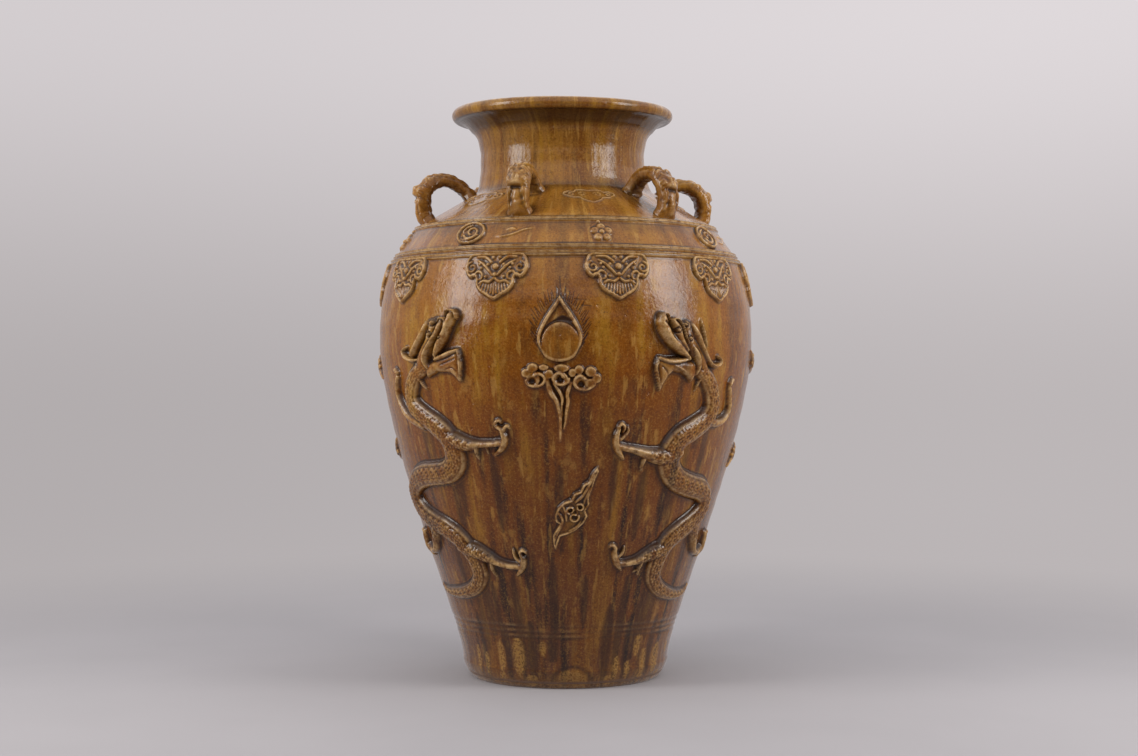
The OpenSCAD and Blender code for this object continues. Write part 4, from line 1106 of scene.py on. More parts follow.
def rosette_relief(wall, grain):
    """Five round petals about a ringed heart, and a bud above them."""
    clay = Relief(wall, (-8, 8), (COLLAR_Z + 8, SHOULDER_Z - 4), grain)
    drawer(clay, 0, COLLAR_MID)([(0, -0.5, 9, 2), (0, 0.5, 9, 2)], k=1, full=6)
    for k in range(5):
        a = math.radians(90 + 72 * k)
        place = on_wall(clay, 0, COLLAR_MID - 0.6, 7.6 * math.cos(a), 7.6 * math.sin(a))
        clay.bump(*place, 4.9, 3.4, over=False)
        clay.bump(*place, 2.6, -1.1)
    heart = on_wall(clay, 0, COLLAR_MID - 0.6, 0, 0)
    clay.bump(*heart, 5.4, -1.2)
    clay.bump(*heart, 3.6, 4.6, over=False)
    clay.bump(*on_wall(clay, 0, COLLAR_MID, -2, 14.2), 2.4, 2.6, over=False)
    return clay


def shoulder_cloud_relief(wall, grain):
    """The thin raised outline of a cloud on the slope of the shoulder."""
    middle = SHOULDER_Z + 0.66 * (NECK_Z - SHOULDER_Z)
    clay = Relief(wall, (-17, 17), (SHOULDER_Z + 6, NECK_Z - 1), grain)
    for way in (-1, 1):
        draw = drawer(clay, 0, middle, way)
        half = [(0, 12.5), (7, 14.5), (14, 13), (17, 9), (23, 10.5), (28.5, 6), (27, 0.5), (21, 0),
                (18.6, 3.6), (21.5, 6), (23.4, 4)]
        draw([(x, y, 1.1, 2) for x, y in half])
        low = [(27, 0.5), (20, -4.5), (13, -5), (10, -10), (4, -14.5), (0, -16.5)]
        draw([(x, y, 1.1, 2) for x, y in low])
        draw([(p[0], p[1], 0.9, 1.7) for p in curl(8.5, 4, 5, 160, -380, 1, 1)], k=2)
    draw([(0, 0, 26, 0.7), (0, 1, 26, 0.7)], k=1, full=3)
    return clay


class LugArch:
    """The half-elliptic arch of a lug over the slope of the shoulder, in mm"""

    margin = 1.5
    outer_t = 20
    inner_t = 16

    def __init__(self, jar, relief):
        self.rise = relief.lug_rise
        fall = np.array([jar.neck_r - SHOULDER_R, NECK_Z - SHOULDER_Z])
        self.run = fall / np.hypot(*fall)
        self.slope = (NECK_Z - SHOULDER_Z) / (SHOULDER_R - jar.neck_r)
        out_r = SHOULDER_R - self.margin + self.run[0] * self.outer_t * 0.55
        in_r = jar.neck_r + self.margin - self.run[0] * self.inner_t * 0.5
        self.foot = np.array([out_r, self.cone_z(out_r)])
        self.span = np.hypot(*(np.array([in_r, self.cone_z(in_r)]) - self.foot))
        self.up = np.array([self.run[1], -self.run[0]])

    def cone_z(self, r):
        """Height of the shoulder's slope at a radius."""
        return SHOULDER_Z + (SHOULDER_R - r) * self.slope

    def frame(self, t):
        """Middle and outward direction of the arch at shares of its run."""
        a = math.pi * t[:, None]
        middle = self.foot + self.run * self.span / 2 * (1 - np.cos(a)) + self.up * self.rise * np.sin(a)
        out = -self.run * self.rise * np.cos(a) + self.up * self.span / 2 * np.sin(a)
        return middle, unit_rows(out)


def mask_skin(u, v):
    """Lion mask and mane of a lug, in mm, by the run from its outer foot and the place across."""
    side = np.abs(v)
    lift = 1.4 * bell(v, 0, 4.4) * between(u, 2, 25, 5)
    lift -= 1.3 * bell(side, 6, 2) * between(u, 10, 25, 5)
    lift -= 3.6 * bell(u, 25.5, 2.2) * bell(v, 0, 8)
    lift += 1.4 * bell(side, 10.4, 1.5) * between(u, 6, 26, 4)
    lift += 3.4 * bell(side, 6.8, 1.4) * bell(u, 23.5, 3)
    lift += 5.6 * bell(u, 32, 5.2) * bell(v, 0, 7)
    lift += 1.7 * bell(u, 28.4, 1.5) * bell(v, 0, 9.5)
    lift += 2.3 * bell(side, 2.7, 1.9) * bell(u, 34.5, 2.2)
    lift -= 1.5 * bell(v, 0, 0.9) * bell(u, 33, 4.5)
    lift -= 1.2 * bell(side, 4.6, 0.9) * bell(u, 34, 2.4)
    lift += 2.3 * bell(side, 9.4, 2.4) * bell(u, 32.5, 3.8)
    lift -= 2.2 * bell(side, 5.6, 3.2) * bell(u, 41, 3)
    lift += 3.6 * np.sqrt(np.clip(1 - ((u - 41) ** 2 + (side - 5.6) ** 2) / 6.8, 0, 1))
    lift += 1.2 * bell(np.hypot(u - 41, side - 5.6), 3.5, 0.8)
    lift += 2.8 * bell(u - 46 + 0.28 * (side - 5) ** 2 / 4, 0, 1.5) * bell(side, 5.8, 5)
    lift += 2.5 * bell(v, 0, 1.3) * between(u, 41, 52, 3)
    lift += 2.4 * bell(side - (u - 47) * 0.75, 0, 1.4) * between(u, 48, 56, 2.5)
    lift += 2.2 * bell(side, 11.6, 2) * bell(u, 47.5, 2.8)
    hair = np.cos(side * 2 * math.pi / 3.9 + 0.5 * np.sin(u / 7)) - 0.3
    lift += 0.85 * hair * smoothstep((u - 51) / 7) * smoothstep((92 - u) / 14)
    lift += 0.5 * np.cos(u * 1.9 + side) * bell(side, 11, 2.5) * between(u, 26, 50, 6)
    return lift


def mask_lug_mesh(jar, relief):
    """One lug in front of the axis, as a closed tube with its ends in the shoulder."""
    arch = LugArch(jar, relief)
    rows, columns = 168, 92
    t = np.linspace(0, 1, rows)
    phi = np.linspace(0, 2 * math.pi, columns, endpoint=False)
    middle, out = arch.frame(t)
    step = np.hypot(*np.diff(middle, axis=0).T)
    u = np.concatenate([[0], np.cumsum(step)])[:, None]
    thick = np.interp(t, [0, 0.12, 0.5, 0.9, 1], [9, 8.6, 7.6, 7.4, 8.4])[:, None]
    share = np.interp(t, [0, 0.05, 0.1, 0.2, 0.3, 0.42, 0.52, 0.6, 0.85, 0.95, 1],
                      [1.02, 0.86, 0.84, 0.9, 0.96, 1, 0.9, 0.78, 0.70, 0.74, 0.95])
    wide = relief.lug_w / 2 * share[:, None]
    squareness = 0.72
    c, s = np.cos(phi)[None, :], np.sin(phi)[None, :]
    bulge = np.sign(c) * np.abs(c) ** squareness
    across = np.sign(s) * np.abs(s) ** squareness * wide
    front = smoothstep(c * 1.6)
    skin = mask_skin(np.repeat(u, columns, 1), across) * front
    skin = blur(skin, 0.7, 0.6)
    lumps = 0.5 * np.sin(0.37 * u + 1.4 * np.sin(2 * phi)) * np.cos(2 * phi + 0.16 * u)
    lumps += 0.4 * np.sin(4 * phi + 1.7 * np.sin(0.23 * u) + np.sin(0.71 * u + phi))
    skin = skin + lumps * smoothstep(t / 0.08)[:, None]
    away = thick * bulge + skin
    soft = blur(skin, 4, 4)
    rise = (skin - soft) / 1.5
    at = middle[:, None, :] + out[:, None, :] * away[..., None]
    foot = arch.cone_z(np.hypot(at[..., 0], across)) - BACK_DEPTH
    z = at[..., 1].copy()
    for row in (0, rows - 1):
        z[row] = foot[row]
    co = np.stack([across, -at[..., 0], z], -1).reshape(-1, 3)
    first = np.arange(rows * columns).reshape(rows, columns)
    after = np.roll(first, -1, 1)
    quads = np.stack([first[:-1], first[1:], after[1:], after[:-1]], -1).reshape(-1, 4)
    ends = [[0, -r, arch.cone_z(r) - BACK_DEPTH] for r in (arch.foot[0], middle[-1, 0])]
    n = len(co)
    fans = np.vstack([np.stack([np.full(columns, n), first[0], after[0]], -1),
                      np.stack([np.full(columns, n + 1), after[-1], first[-1]], -1)])
    co = np.vstack([co, ends])
    # The lug's underside, towards the shoulder, is darkened as painted shade; the darkening in its hollows is
    # pooled glaze
    pool = np.clip(-rise, 0, 1) + 0.5 * (1 - front) * smoothstep(-c * 2)
    values = {"edge": np.clip(rise, 0, 1), "pool": pool, "raised": np.ones(rise.shape)}
    return new_mesh("Mask lug", co, [quads, fans],
                    {key: np.concatenate([value.ravel(), [0, 0]]) for key, value in values.items()})


def resample(line, step):
    """Points along a line at even steps, with its two ends."""
    line = np.asarray(line, float)
    s = np.concatenate([[0], np.cumsum(np.hypot(*np.diff(line, axis=0).T))])
    n = max(int(math.ceil(s[-1] / step)), 1) + 1
    at = np.linspace(0, s[-1], n)
    return np.stack([np.interp(at, s, line[:, 0]), np.interp(at, s, line[:, 1])], 1)


def section_of(*lines):
    """One section from lines of [radius, height, step] that follow each other."""
    rows = [resample(line, step) for line, step in lines]
    return np.vstack([rows[0]] + [r[1:] for r in rows[1:]])


def inner_line(wall, jar):
    """Inner line of the wall from the floor to the neck, as heights and radii in mm."""
    z = wall.z - jar.wall_t * wall.nz
    r = wall.r - jar.wall_t * wall.nr
    on_body = wall.z < NECK_Z - 6
    z, r = z[on_body], r[on_body]
    r = r + (jar.bore_r - np.interp(NECK_Z, z, r)) * smoothstep((z - NECK_Z + 26) / 26)
    z = np.concatenate([z, [NECK_Z + 0.01, LIP_Z - 23, LIP_Z]])
    r = np.concatenate([r, [jar.bore_r, jar.bore_r, jar.throat_r + BORE_FLARE]])
    order = np.argsort(z)
    return z[order], r[order]


# Steps along the wall's sections, in mm
WALL_STEP = 1.7
INNER_STEP = 7
SEAM_STEP = 3
FLAT_STEP = 9

# Radius of the rolled lip, in mm
LIP_ROLL = 7


def wall_section(wall, jar, low, high):
    """Closed section of the wall between two heights."""
    inner_z, inner_r = inner_line(wall, jar)
    on = (wall.z > low + 0.02) & (wall.z < high - 0.02)
    outer = np.vstack([[wall.r_at(low), low], np.stack([wall.r[on], wall.z[on]], 1), [wall.r_at(high), high]])
    down = np.linspace(high, low, 40)
    inner = np.stack([np.interp(down, inner_z, inner_r), down], 1)
    return section_of((outer, WALL_STEP), ([outer[-1], inner[0]], SEAM_STEP), (inner, INNER_STEP),
                      ([inner[-1], outer[0]], SEAM_STEP))


def foot_section(wall, jar):
    """Section of the foot: the face that it rests on, its flare and the floor."""
    inner_z, inner_r = inner_line(wall, jar)
    inner = (float(np.interp(FOOT_H, inner_z, inner_r)), FOOT_H)
    floor = (inner[0] - 4, jar.floor_t)
    top = (wall.r_at(FOOT_H), FOOT_H)
    rise = bezier((jar.rest_r, 0), (jar.rest_r + 4, 2), (FOOT_R - 2, FOOT_H - 8), top, 40)
    return section_of(([(0, 0), (jar.rest_r, 0)], FLAT_STEP), (rise, 1), ([rise[-1], inner], SEAM_STEP),
                      ([inner, floor], 2), ([floor, (0, jar.floor_t)], FLAT_STEP))


def lip_section(jar):
    """Closed section of the rolled lip."""
    root, bore = jar.throat_r + NECK_FLARE, jar.throat_r + BORE_FLARE
    roll_r, roll_z = LIP_R - LIP_ROLL, JAR_H - LIP_ROLL
    turn = np.radians(np.linspace(-100, 90, 40))
    roll = np.stack([roll_r + LIP_ROLL * np.cos(turn), roll_z + LIP_ROLL * np.sin(turn)], 1)
    under = bezier((root, LIP_Z), (root + 3, LIP_Z + 3.6), (roll[0, 0] - 7, roll[0, 1] - 1.4), roll[0], 20)
    fall = bezier((roll_r, JAR_H), (roll_r - 13, JAR_H), (bore + 4, JAR_H - 9), (bore, LIP_Z), 40)
    return section_of((under, 1), (roll, 1), (fall, 1.2), ([(bore, LIP_Z), (root, LIP_Z)], 2))


def throw(name, section, tree, segments, material):
    """A piece turned on the wheel from its section, with its faces outward."""
    mesh = bpy.data.meshes.new(name)
    mesh.from_pydata([(r * MM, 0, z * MM) for r, z in section], [], [])
    obj = new_object(name, mesh)
    mesh = with_tree(obj, tree, {"Segments": segments, "Material": material})
    face_out(mesh)
    return obj


def face_out(mesh):
    """Turns the faces of a closed mesh outward."""
    mesh.calc_loop_triangles()
    tri = np.empty(len(mesh.loop_triangles) * 3, np.int32)
    mesh.loop_triangles.foreach_get("vertices", tri)
    a, b, c = (points_of(mesh)[tri[k::3]] for k in range(3))
    if np.einsum("ij,ij->i", a, np.cross(b, c)).sum() < 0:
        mesh.flip_normals()


def set_values(mesh, **values):
    """Stores named values at the points of a mesh."""
    for key, value in values.items():
        store = mesh.attributes.get(key) or mesh.attributes.new(key, "FLOAT", "POINT")
        store.data.foreach_set("value", np.broadcast_to(value, len(mesh.vertices)).astype(np.float32))


RINGS = {"upper_string_ring": SHOULDER_Z - 3, "lower_string_ring_1": COLLAR_Z + 5.2,
         "lower_string_ring_2": COLLAR_Z - 2}

# Copies round the axis, and the turn of the first in degrees
LUGS, LUG_TURN = 6, 42.5
CLOUDS, CLOUD_TURN = 6, 12.5
ROUNDELS, ROUNDEL_TURN = 4, -33
ROSETTES, ROSETTE_TURN = 4, 12
LAPPETS, LAPPET_TURN = 10, 15.5

# Pale drips and dark runs of glaze: angle, top and foot in mm, half width in mm
ASH_DRIPS = ((-54, 44, 12, 3.2), (-47, 37, 9, 3.2), (-36, 53, 14, 4.2), (-25, 57, 12, 7),
             (-11.5, 54, 38, 3.4), (40, 58, 34, 4.4), (-36.5, 17, 3, 4.5), (-18.5, 16, 2, 6.5),
             (24, 15, 2, 5))
DARK_RUNS = ((-22.4, 128, 6, 5.5), (27, 128, 6, 5.5), (-5, 150, 30, 4.5), (-23.5, 262, 175, 5),
             (26.5, 246, 165, 5.5), (8.5, 130, 70, 3.5), (-33, 120, 40, 4), (37, 118, 30, 5),
             (-1.5, 250, 150, 3.5), (16, 262, 190, 3.5), (-47, 84, 2, 4), (-31, 72, 2, 4.5), (-17, 78, 2, 6),
             (-7, 64, 30, 4), (21, 96, 2, 6.5), (33, 84, 4, 5), (50, 80, 2, 5))


def run_down(a, r, z, angle, top, low, wide):
    """How far points at angles a lie within a run of glaze, pointed at its top and thin at its foot."""
    share = np.clip((top - z) / (top - low), 0, 1)
    body = wide * np.sqrt(np.clip(np.sin(math.pi * share ** 0.8), 1e-4, 1)) + 0.3
    across = np.radians(np.abs((a - angle + 180) % 360 - 180)) * r
    return smoothstep((1.45 - across / body) / 0.9) * (z < top) * (z > low)


def runs_on_wall(a, r, z):
    """Pale ash drips near the foot, and dark runs under the dragons and their feet."""
    ash, dark = np.zeros(len(z)), np.zeros(len(z))
    for turn, grow in ((0, 1), (82, 0.8), (151, 1.15), (233, 0.9)):
        for angle, top, low, wide in ASH_DRIPS:
            ash = np.maximum(ash, run_down(a, r, z, angle + turn, top * grow, low * grow, wide))
    for _, turn in SIDES:
        patch = np.hypot(np.radians((a - 3.5 - turn + 180) % 360 - 180) * r / 17, (z - 10) / 13)
        ash = np.maximum(ash, 0.8 * smoothstep((1.1 - patch) / 0.35))
        dark = np.maximum(dark, bell(patch, 1.22, 0.14) * (z > 8))
        for angle, top, low, wide in DARK_RUNS:
            dark = np.maximum(dark, run_down(a, r, z, angle + turn, top, low, wide))
        for side, line in TRUNK.items():
            for k, (angle, top, wide, _) in enumerate(line[:-4]):
                size = 0.5 + 0.5 * math.sin(2.3 * k + turn + len(side))
                foot = top - wide - 22 - 55 * size
                run = run_down(a, r, z, angle + turn + 2 * size - 1, top - wide * 0.6, foot, 2 + 3.5 * size)
                dark = np.maximum(dark, (0.45 + 0.5 * size) * run)
    return ash, dark


def glaze_on_wall(wall, jar, mesh):
    """Where the glaze pools on the wall, with painted shade under the rolled lip; where it is thin, with a
    painted highlight on the lip's top; where the clay is bare and where ash drips.
    """
    co = points_of(mesh)
    r, z = np.hypot(co[:, 0], co[:, 1]), co[:, 2]
    outer = np.interp(z, wall.z, wall.r)
    pool = np.zeros(len(z))
    edge = np.zeros(len(z))
    for ring_z in RINGS.values():
        pool += 0.9 * bell(z, ring_z - 3.7, 1.0) + 0.7 * bell(z, ring_z + 3.7, 0.9)
    pool += 0.35 * bell(z, SHOULDER_Z - 11, 5) + 0.5 * bell(z, NECK_Z + 2, 4)
    # Darker under the rolled lip, on the top of the neck and down the inside of the mouth: painted shade
    pool += 0.8 * smoothstep((z - LIP_Z + 8) / 10) * (z < JAR_H - 13)
    arch = LugArch(jar, bpy.context.scene.martaban_relief)
    tip = arch.foot + arch.run * arch.span
    a = np.degrees(np.arctan2(co[:, 0], -co[:, 1]))
    for g in GROOVES:
        broken = 0.5 + 0.5 * np.sin(np.radians(5 * a + 9 * g)) + 0.4 * np.sin(np.radians(13 * a + g))
        broken = np.clip(broken, 0, 1)
        pool += 0.8 * broken * bell(z, g, 1.7)
        edge += 0.4 * broken * bell(z, g + 2.8, 1.2)
    ash, dark = runs_on_wall(a, r, z)
    pool = np.maximum(pool, 0.72 * dark)
    turn = (a - LUG_TURN + 30) % 60 - 30
    for foot, wide in ((arch.foot, 14), (tip, 12)):
        away = np.hypot(np.radians(turn) * r / wide, (r - foot[0]) / (arch.outer_t * 0.62))
        pool += 0.75 * bell(away, 1.0, 0.28) * between(z, SHOULDER_Z, NECK_Z, 6)
    # The lip's top is paler, with thin glaze and a painted highlight; the shoulder's edge is paler where the
    # glaze thins
    edge += 0.8 * smoothstep((z - JAR_H + 2.5) / 2.5) + 0.35 * bell(z, SHOULDER_Z + 1, 3)
    bare = smoothstep((outer - r - 4) / 2) * (1 - smoothstep((z - LIP_Z + 40) / 30)) * (z > 6)
    bare = np.maximum(bare, 1 - smoothstep(z / 0.9))
    set_values(mesh, edge=np.clip(edge, 0, 1), pool=np.clip(pool, 0, 1) * (1 - bare), raised=0, bare=bare,
               ash=ash * (1 - bare))


def hand_over(obj, wall, nodes, warped=False):
    """Warps a finished piece where asked, gives it its body and hides the CAD nodes that it stands for."""
    if warped:
        move_points(obj.data, wall.warp(points_of(obj.data)))
    for key in ("bare", "ash"):
        if not obj.data.attributes.get(key):
            set_values(obj.data, **{key: 0})
    obj.data.set_sharp_from_angle(angle=math.radians(SHARP_DEG))
    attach(obj, BODY)
    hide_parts(*nodes)


def colour(value):
    """An opaque colour."""
    return (*value[:3], 1)


# The darkest clay, a mean radius in metres, and the glaze's tones by share of the jar's height
DARK_CLAY = (0.09, 0.05, 0.035, 1)
MEAN_R = 0.2
BASE_TONES = ((0.0, (0.115, 0.044, 0.020)), (0.06, (0.130, 0.046, 0.017)), (0.25, (0.158, 0.046, 0.009)),
              (0.5, (0.225, 0.065, 0.006)), (0.7, (0.300, 0.110, 0.008)), (0.84, (0.33, 0.140, 0.022)),
              (1.0, (0.24, 0.110, 0.020)))


def glaze_group(colours):
    """The ash glaze: colour, roughness and height in mm, by place, pooling and thin edges."""
    tree = bpy.data.node_groups.new("Ash glaze", "ShaderNodeTree")
    for key, value in (("Wash", 0.3), ("Thin edges", 1.0), ("Pooling", 1.0), ("Runs", 1.0), ("Grit", 1.0)):
        tree.interface.new_socket(key, in_out="INPUT", socket_type="NodeSocketFloat").default_value = value
    for key, kind in (("Color", "Color"), ("Roughness", "Float"), ("Height", "Float")):
        tree.interface.new_socket(key, in_out="OUTPUT", socket_type="NodeSocket" + kind)
    g = Graph(tree)
    given, out = g.add("NodeGroupInput").outputs, g.add("NodeGroupOutput")

    def mark(name):
        return g.add("ShaderNodeAttribute", attribute_name=name).outputs["Fac"]

    plus, times = g.plus, g.times
    place = g.add("ShaderNodeTexCoord").outputs["Object"]
    part = g.add("ShaderNodeSeparateXYZ", {0: place}).outputs
    flat = g.add("ShaderNodeCombineXYZ", {0: part[0], 1: part[1]}).outputs[0]
    circle = g.vector("SCALE", g.vector("NORMALIZE", flat))
    g.feed(circle.node.inputs["Scale"], MEAN_R)
    across = g.add("ShaderNodeSeparateXYZ", {0: circle}).outputs

    def stretched(share, shift=0.0):
        """The wall rolled out, with heights shortened so that patterns run down it."""
        return g.add("ShaderNodeCombineXYZ", {0: plus(across[0], shift), 1: across[1],
                                              2: times(part[2], share)}).outputs[0]

    height = times(part[2], 1 / (JAR_H * MM))
    level = plus(height, g.range(g.noise(place, 9, 3), 0.3, 0.7, -0.06, 0.06))
    on_body = g.range(height, 0.08, 0.5, 0.45, 1)
    below = g.range(height, 0.75, 0.35, 0.45, 1)
    blotch = g.noise(stretched(0.45), 30, 6, 0.65)
    flow = plus(times(g.noise(stretched(0.085, 1.3), 52, 5, 0.6), 0.62), times(blotch, 0.38))
    golden = times(g.range(flow, 0.49, 0.64, 0, 0.85), on_body)
    rust = g.range(g.noise(stretched(0.3, 3.1), 20, 6, 0.62), 0.46, 0.66, 0, 0.75)
    run = times(times(g.range(flow, 0.49, 0.37), below), given["Runs"])
    dash = g.range(g.noise(stretched(0.22, 2.2), 130, 4, 0.55), 0.585, 0.66, 0, 0.55)
    mottle = g.noise(stretched(0.6, 5.7), 62, 5, 0.66)
    grain = g.noise(place, 480, 5, 0.75)
    uneven = g.range(g.noise(place, 150, 5, 0.7), 0.34, 0.62, 0.1, 1)
    # Raised edges take the crest colour: thin glaze, and partly a painted highlight
    thin = g.math("MULTIPLY", times(mark("edge"), uneven), given["Thin edges"], clamp=True)
    # This mark darkens both where glaze pools and where shade is painted
    deep = g.math("MULTIPLY", mark("pool"), given["Pooling"], clamp=True)
    ragged = g.range(g.noise(place, 420, 4, 0.7), 0.36, 0.60)
    foot = times(g.range(height, 0.035, 0.0), times(ragged, 0.45))
    ash = g.math("MAXIMUM", times(mark("ash"), plus(times(ragged, 0.85), 0.08)), foot)
    tone = g.ramp(level, BASE_TONES)
    layers = (
        (golden, colours.olive), (rust, colours.rust),
        (g.math("MULTIPLY", run, 0.78, clamp=True), colours.pool),
        (times(times(dash, given["Runs"]), on_body), colours.ochre),
        (g.range(mottle, 0.55, 0.68, 0, 0.35), colours.ochre),
        (g.range(mottle, 0.47, 0.36, 0, 0.5), colours.rust),
        (g.range(grain, 0.50, 0.68, 0, 0.38), colours.ochre),
        (g.range(grain, 0.48, 0.33, 0, 0.55), colours.pool),
        (times(times(mark("raised"), uneven), given["Wash"]), colours.wash),
        (thin, colours.crest_and_highlight), (times(deep, 0.85), colours.pool),
        (times(times(ash, 0.8), given["Grit"]), colours.ochre))
    for share, over in layers:
        tone = g.blend(share, tone, colour(over))
    bare = mark("bare")
    clay = g.blend(g.range(grain, 0.4, 0.65, 0, 0.6), colour(colours.clay), DARK_CLAY)
    tone = g.blend(bare, tone, clay)
    g.feed(out.inputs["Color"], tone)
    matt = plus(g.range(grain, 0.3, 0.7, 0.10, 0.22), times(thin, 0.12))
    matt = plus(matt, times(bare, 0.5))
    matt = plus(matt, times(ash, 0.3))
    g.feed(out.inputs["Roughness"], matt)
    swell = times(g.noise(stretched(0.6), 34, 2, 0.4), 1.5)
    peel = times(g.noise(place, 210, 4, 0.6), 0.45)
    pit = times(g.range(g.noise(place, 130, 2, 0.5), 0.30, 0.22), -0.5)
    grit = times(times(g.noise(place, 900, 3, 0.7), plus(plus(bare, ash), 0.12)), 0.35)
    g.feed(out.inputs["Height"], plus(plus(swell, peel), plus(pit, grit)))
    return tree


SHINE = {"IOR": 1.5, "Specular IOR Level": 0.32, "Coat Weight": 0.1, "Coat Roughness": 0.06}
LOOKS = {"amber_glaze": {"Wash": 0.0}, "dark_glaze": {"Wash": 0.0, "Runs": 1.15},
         "relief_glaze": {"Wash": 0.16}, "pale_glaze": {"Wash": 0.34}}


def glaze_material(name, group, look):
    """A glossy ash glaze over stoneware, with its own share of washes and runs."""
    material = bpy.data.materials.new(name)
    material.use_nodes = True
    graph = Graph(material.node_tree)
    shader = material.node_tree.nodes["Principled BSDF"]
    glaze = graph.add("ShaderNodeGroup", node_tree=group)
    for key, value in look.items():
        glaze.inputs[key].default_value = value
    bump = graph.add("ShaderNodeBump", {"Height": glaze.outputs["Height"], "Distance": MM, "Strength": 1.0})
    graph.feed(shader.inputs["Base Color"], glaze.outputs["Color"])
    graph.feed(shader.inputs["Roughness"], glaze.outputs["Roughness"])
    graph.feed(shader.inputs["Normal"], bump.outputs[0])
    for key, value in SHINE.items():
        shader.inputs[key].default_value = value
    return material


def finish_of(slot):
    """The material of a slot, made when it is first asked for."""
    name = slot.replace("_", " ").capitalize()
    if name not in bpy.data.materials:
        colours = bpy.context.scene.martaban_glaze
        group = bpy.data.node_groups.get("Ash glaze") or glaze_group(colours)
        glaze_material(name, group, LOOKS[slot])
    return bpy.data.materials[name]


def kit():
    """The wall, and the settings of jar and reliefs."""
    scene = bpy.context.scene
    return Wall(scene.martaban_jar), scene.martaban_jar, scene.martaban_relief


def tree_of(name, maker):
    """A node tree, made when it is first asked for."""
    return bpy.data.node_groups.get(name) or maker()


def ring_of(name, mesh, stem, count, turn, wall, slot):
    """Copies of a piece round the axis, as one piece for the CAD nodes numbered from a stem."""
    obj = new_object(name, mesh)
    inputs = {"Count": count, "First turn": math.radians(turn), "Material": finish_of(slot)}
    with_tree(obj, tree_of("Ring of copies", ring_tree), inputs)
    hand_over(obj, wall, numbered(stem, count), warped=True)


def laid_on(name, relief, turn, slot):
    """A relief on its place on the wall, as one piece for the CAD node of its name."""
    sizes = bpy.context.scene.martaban_relief
    obj = new_object(name, relief.mesh(name, sizes.melt, sizes.skirt, turn))
    obj.data.materials.append(finish_of(slot))
    hand_over(obj, relief.wall, [name])


# The studio, in metres and watts: a paper floor that rises into a wall, two soft boxes and a pale sky
FLOOR_R = 2.7
PAPER_WALL_R = 3.6
PAPER_WALL_H = 2.6
PAPER_SEGMENTS = 96
PAPER = (0.40, 0.375, 0.38, 1)
# Glow of the backdrop from low to high, a painted light gradient, and the dimming that reflections see in
# front
BACK_LOW = (0.45, 0.42, 0.425, 1)
BACK_HIGH = (0.66, 0.62, 0.635, 1)
WHITE = (1, 1, 1, 1)
FRONT_GLOSS = 0.06
BOX_SIZE = (0.5, 0.75)
BOX_WATTS = 9.5
BOX_COLOUR = (1, 0.985, 0.965)
BOX_WAY = (0.84, -0.42, 0.34)
BOX_AWAY = 1.35
BOX_AIM = (0, 0, 0.42)
SKY = (0.93, 0.95, 1, 1)
SKY_LIGHT = 1.05


def stage_section():
    """Section of the paper: a round floor that rises into a wall, in metres."""
    flat = np.stack([np.linspace(0, FLOOR_R, 24), np.zeros(24)], 1)
    bend = bezier((FLOOR_R, 0), (FLOOR_R + 0.6 * (PAPER_WALL_R - FLOOR_R), 0),
                  (PAPER_WALL_R, 0.12 * PAPER_WALL_H), (PAPER_WALL_R, PAPER_WALL_H), 60)
    return np.vstack([flat, bend[1:]])


def studio_material():
    """Pale paper; away from the jar the camera and reflections see a glow of painted light, brighter higher
    up and to the right, and dimmed in front for reflections.
    """
    material = bpy.data.materials.new("Studio paper")
    material.use_nodes = True
    nodes = material.node_tree.nodes
    graph = Graph(material.node_tree)

    def grey(value):
        return graph.add("ShaderNodeCombineColor", {0: value, 1: value, 2: value}).outputs[0]

    paper = nodes["Principled BSDF"]
    place = graph.add("ShaderNodeTexCoord").outputs["Object"]
    part = graph.add("ShaderNodeSeparateXYZ", {0: place}).outputs
    mottle = graph.range(graph.noise(place, 2.5, 3), 0.3, 0.7, 0.97, 1.03)
    graph.feed(paper.inputs["Base Color"], graph.blend(1.0, PAPER, grey(mottle), "MULTIPLY"))
    paper.inputs["Roughness"].default_value = 0.9
    flat = graph.add("ShaderNodeCombineXYZ", {0: part[0], 1: part[1]}).outputs[0]
    away = graph.add("ShaderNodeVectorMath", {0: flat}, operation="LENGTH").outputs["Value"]
    rays = graph.add("ShaderNodeLightPath").outputs
    # For reflections the glow is dimmed in front and low down and grows with height: painted light for the
    # glaze to reflect
    front = graph.math("MAXIMUM", graph.range(part[1], -1.9, 0.3, FRONT_GLOSS, 1),
                       graph.range(part[2], 0.7, 2.6, FRONT_GLOSS, 1.9))
    dim = graph.blend(rays["Is Camera Ray"], grey(front), WHITE)
    # The glow grows brighter with height and towards the right: a painted light gradient
    back = graph.blend(graph.range(part[2], 0.2, 1.5), BACK_LOW, BACK_HIGH)
    painted_glow = graph.add("ShaderNodeEmission", {"Color": graph.blend(1.0, back, dim, "MULTIPLY"),
                                            "Strength": graph.range(part[0], -1.6, 1.6, 0.99, 1.12)})
    seen = graph.math("ADD", rays["Is Camera Ray"], rays["Is Glossy Ray"], clamp=True)
    share = graph.times(seen, graph.range(away, 0.35, 1.5))
    share = graph.math("MAXIMUM", share, rays["Is Glossy Ray"])
    mix = graph.add("ShaderNodeMixShader", {0: share, 1: paper.outputs[0], 2: painted_glow.outputs[0]})
    graph.feed(nodes["Material Output"].inputs[0], mix.outputs[0])
    return material


